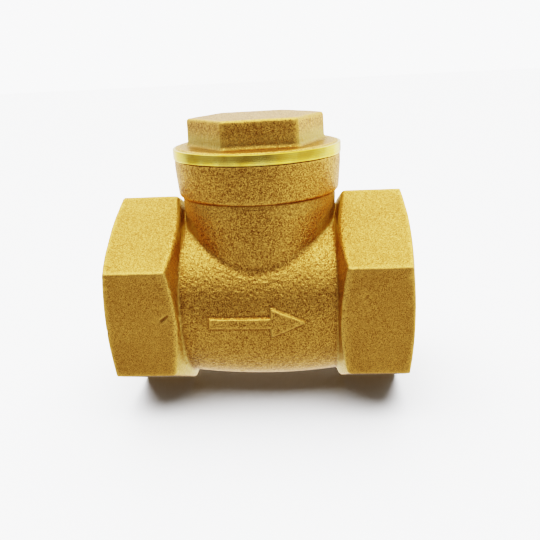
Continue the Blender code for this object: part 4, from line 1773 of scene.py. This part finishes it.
@dataclass(frozen=True)
class Studio:
    """A white floor, an even white surround with a large bright area overhead, and the camera."""

    camera_at: Point = (11.208, -127.252, 49.262)
    yaw: float = -0.076
    pitch: float = -0.335
    roll: float = -0.050
    lens: float = 38.28
    sensor: float = 36.0
    floor_size: float = 8.0
    backdrop: float = 3.2
    key: float = 9.2
    shade: float = 0.68
    shade_from: float = 18.5
    shade_to: float = 33.0
    shade_half: float = 19.0
    shade_lift: float = 0.02
    even: float = 0.20
    below: float = 0.36
    right: float = 0.42
    left: float = 0.12
    behind: float = 1.0
    band: float = 0.8
    above: float = 1.65

    def camera(self) -> None:
        """Sets the camera at the valve's front, a little above it."""
        data = bpy.data.cameras.new("camera")
        data.lens, data.sensor_width = self.lens, self.sensor
        data.clip_start, data.clip_end = 0.01, 50.0
        made = bpy.data.objects.new("camera", data)
        bpy.context.scene.collection.objects.link(made)
        ahead = Vector((math.sin(self.yaw), math.cos(self.yaw), math.tan(self.pitch))).normalized()
        right = Vector((math.cos(self.yaw), -math.sin(self.yaw), 0))
        up = right.cross(ahead)
        cos, sin = math.cos(self.roll), math.sin(self.roll)
        axes = (cos * right + sin * up, cos * up - sin * right, -ahead)
        made.matrix_world = Matrix.Translation(Vector(self.camera_at) * MM) @ Matrix(axes).transposed().to_4x4()
        bpy.context.scene.camera = made

    def floor(self) -> None:
        """Lays the floor under the hexagons' lowest corners."""
        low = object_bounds()[0].z / MM
        half = self.floor_size / 2 / MM
        corners = [(-half, -half, low), (half, -half, low), (half, half, low), (-half, half, low)]
        made = make_object("floor", corners, [(0, 1, 2, 3)], [Paper("white_paper").material()])
        made.visible_glossy = False
        made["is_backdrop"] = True
        self.contact_shade(low)

    def contact_shade(self, low: float) -> None:
        """Lays a painted shadow: a dark, faintly glowing sheet under the hexagons that only the forging's
        undersides mirror, unseen by the camera.

        Args:
            low: The floor's height.
        """
        height, half = low + self.shade_lift, self.shade_half
        points, faces = [], []
        for side in (-1, 1):
            faces.append(tuple(range(len(points), len(points) + 4)))
            start, end = sorted((self.shade_from * side, self.shade_to * side))
            points += [(start, -half, height), (end, -half, height), (end, half, height), (start, half, height)]
        # Painted shadow with a faint bluish glow, which sets how bright the mirrored shade under the hexagons
        # looks.
        shaded = Paper("shaded_paper", (0.02, 0.02, 0.02), 0.5, (0.9, 1.0, 1.25), 0.30)
        made = make_object("contact_shade", points, faces, [shaded.material()])
        made.visible_camera = made.visible_diffuse = made.visible_shadow = False
        made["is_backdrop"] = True

    def overhead(self) -> None:
        """Hangs a very wide soft light overhead, for the floor."""
        data = bpy.data.lights.new("overhead", "SUN")
        data.energy = self.key
        data.angle = math.radians(85)
        made = bpy.data.objects.new("overhead", data)
        made.rotation_euler = (math.radians(-3), math.radians(-4), 0)
        made.visible_glossy = False
        bpy.context.scene.collection.objects.link(made)

    def surround(self) -> None:
        """Lights the scene from all round, most from overhead, and shows the camera plain white."""
        world = bpy.data.worlds.new("surround")
        world.use_nodes = True
        bpy.context.scene.world = world
        kit = NodeKit(world.node_tree)
        toward = kit.node("ShaderNodeTexCoord", {}, {}, "Generated")
        x, y, z = kit.axes(toward)
        up = z.between(0.30, 0.95)
        level = self.even + (-0.2 - z).between(0.0, 0.7) * self.below
        level = level + x.between(0.2, 1.0) * self.right + (0 - x).between(0.2, 1.0) * self.left
        level = level + y.between(0.0, 0.9) * self.behind
        level = level + z.between(-0.44, -0.37) * (1 - z.between(-0.30, -0.23)) * self.band
        level = level * (1 - up) + up * self.above
        light = world.node_tree.nodes["Background"]
        kit.feed(light.inputs["Color"], (1.0, 0.985, 0.96))
        rays = kit.node("ShaderNodeLightPath", {}, {}).socket.node
        seen = Wire(kit, rays.outputs["Is Camera Ray"])
        spread = Wire(kit, rays.outputs["Diffuse Depth"]).clamp()
        kit.feed(light.inputs["Strength"], level * (1 - spread * self.shade))
        shown = kit.node("ShaderNodeBackground", {}, {"Color": (0.965, 0.98, 1.0), "Strength": self.backdrop})
        mixed = kit.node("ShaderNodeMixShader", {}, {0: seen, 1: Wire(kit, light.outputs[0]), 2: shown})
        kit.feed(world.node_tree.nodes["World Output"].inputs["Surface"], mixed)

    def build(self) -> None:
        """Sets up the studio."""
        self.floor()
        self.overhead()
        self.surround()
        self.camera()
        view = bpy.context.scene.view_settings
        view.view_transform = "Filmic"
        view.look = "Very High Contrast"


def main() -> None:
    """Builds the valve and its studio."""
    logging.basicConfig(level=logging.INFO, format="%(name)s: %(message)s")
    ValveBody().build()
    ScrewCap().build()
    HingeArm().build()
    Trim().build()
    Studio().build()


if __name__ == "__main__":
    main()
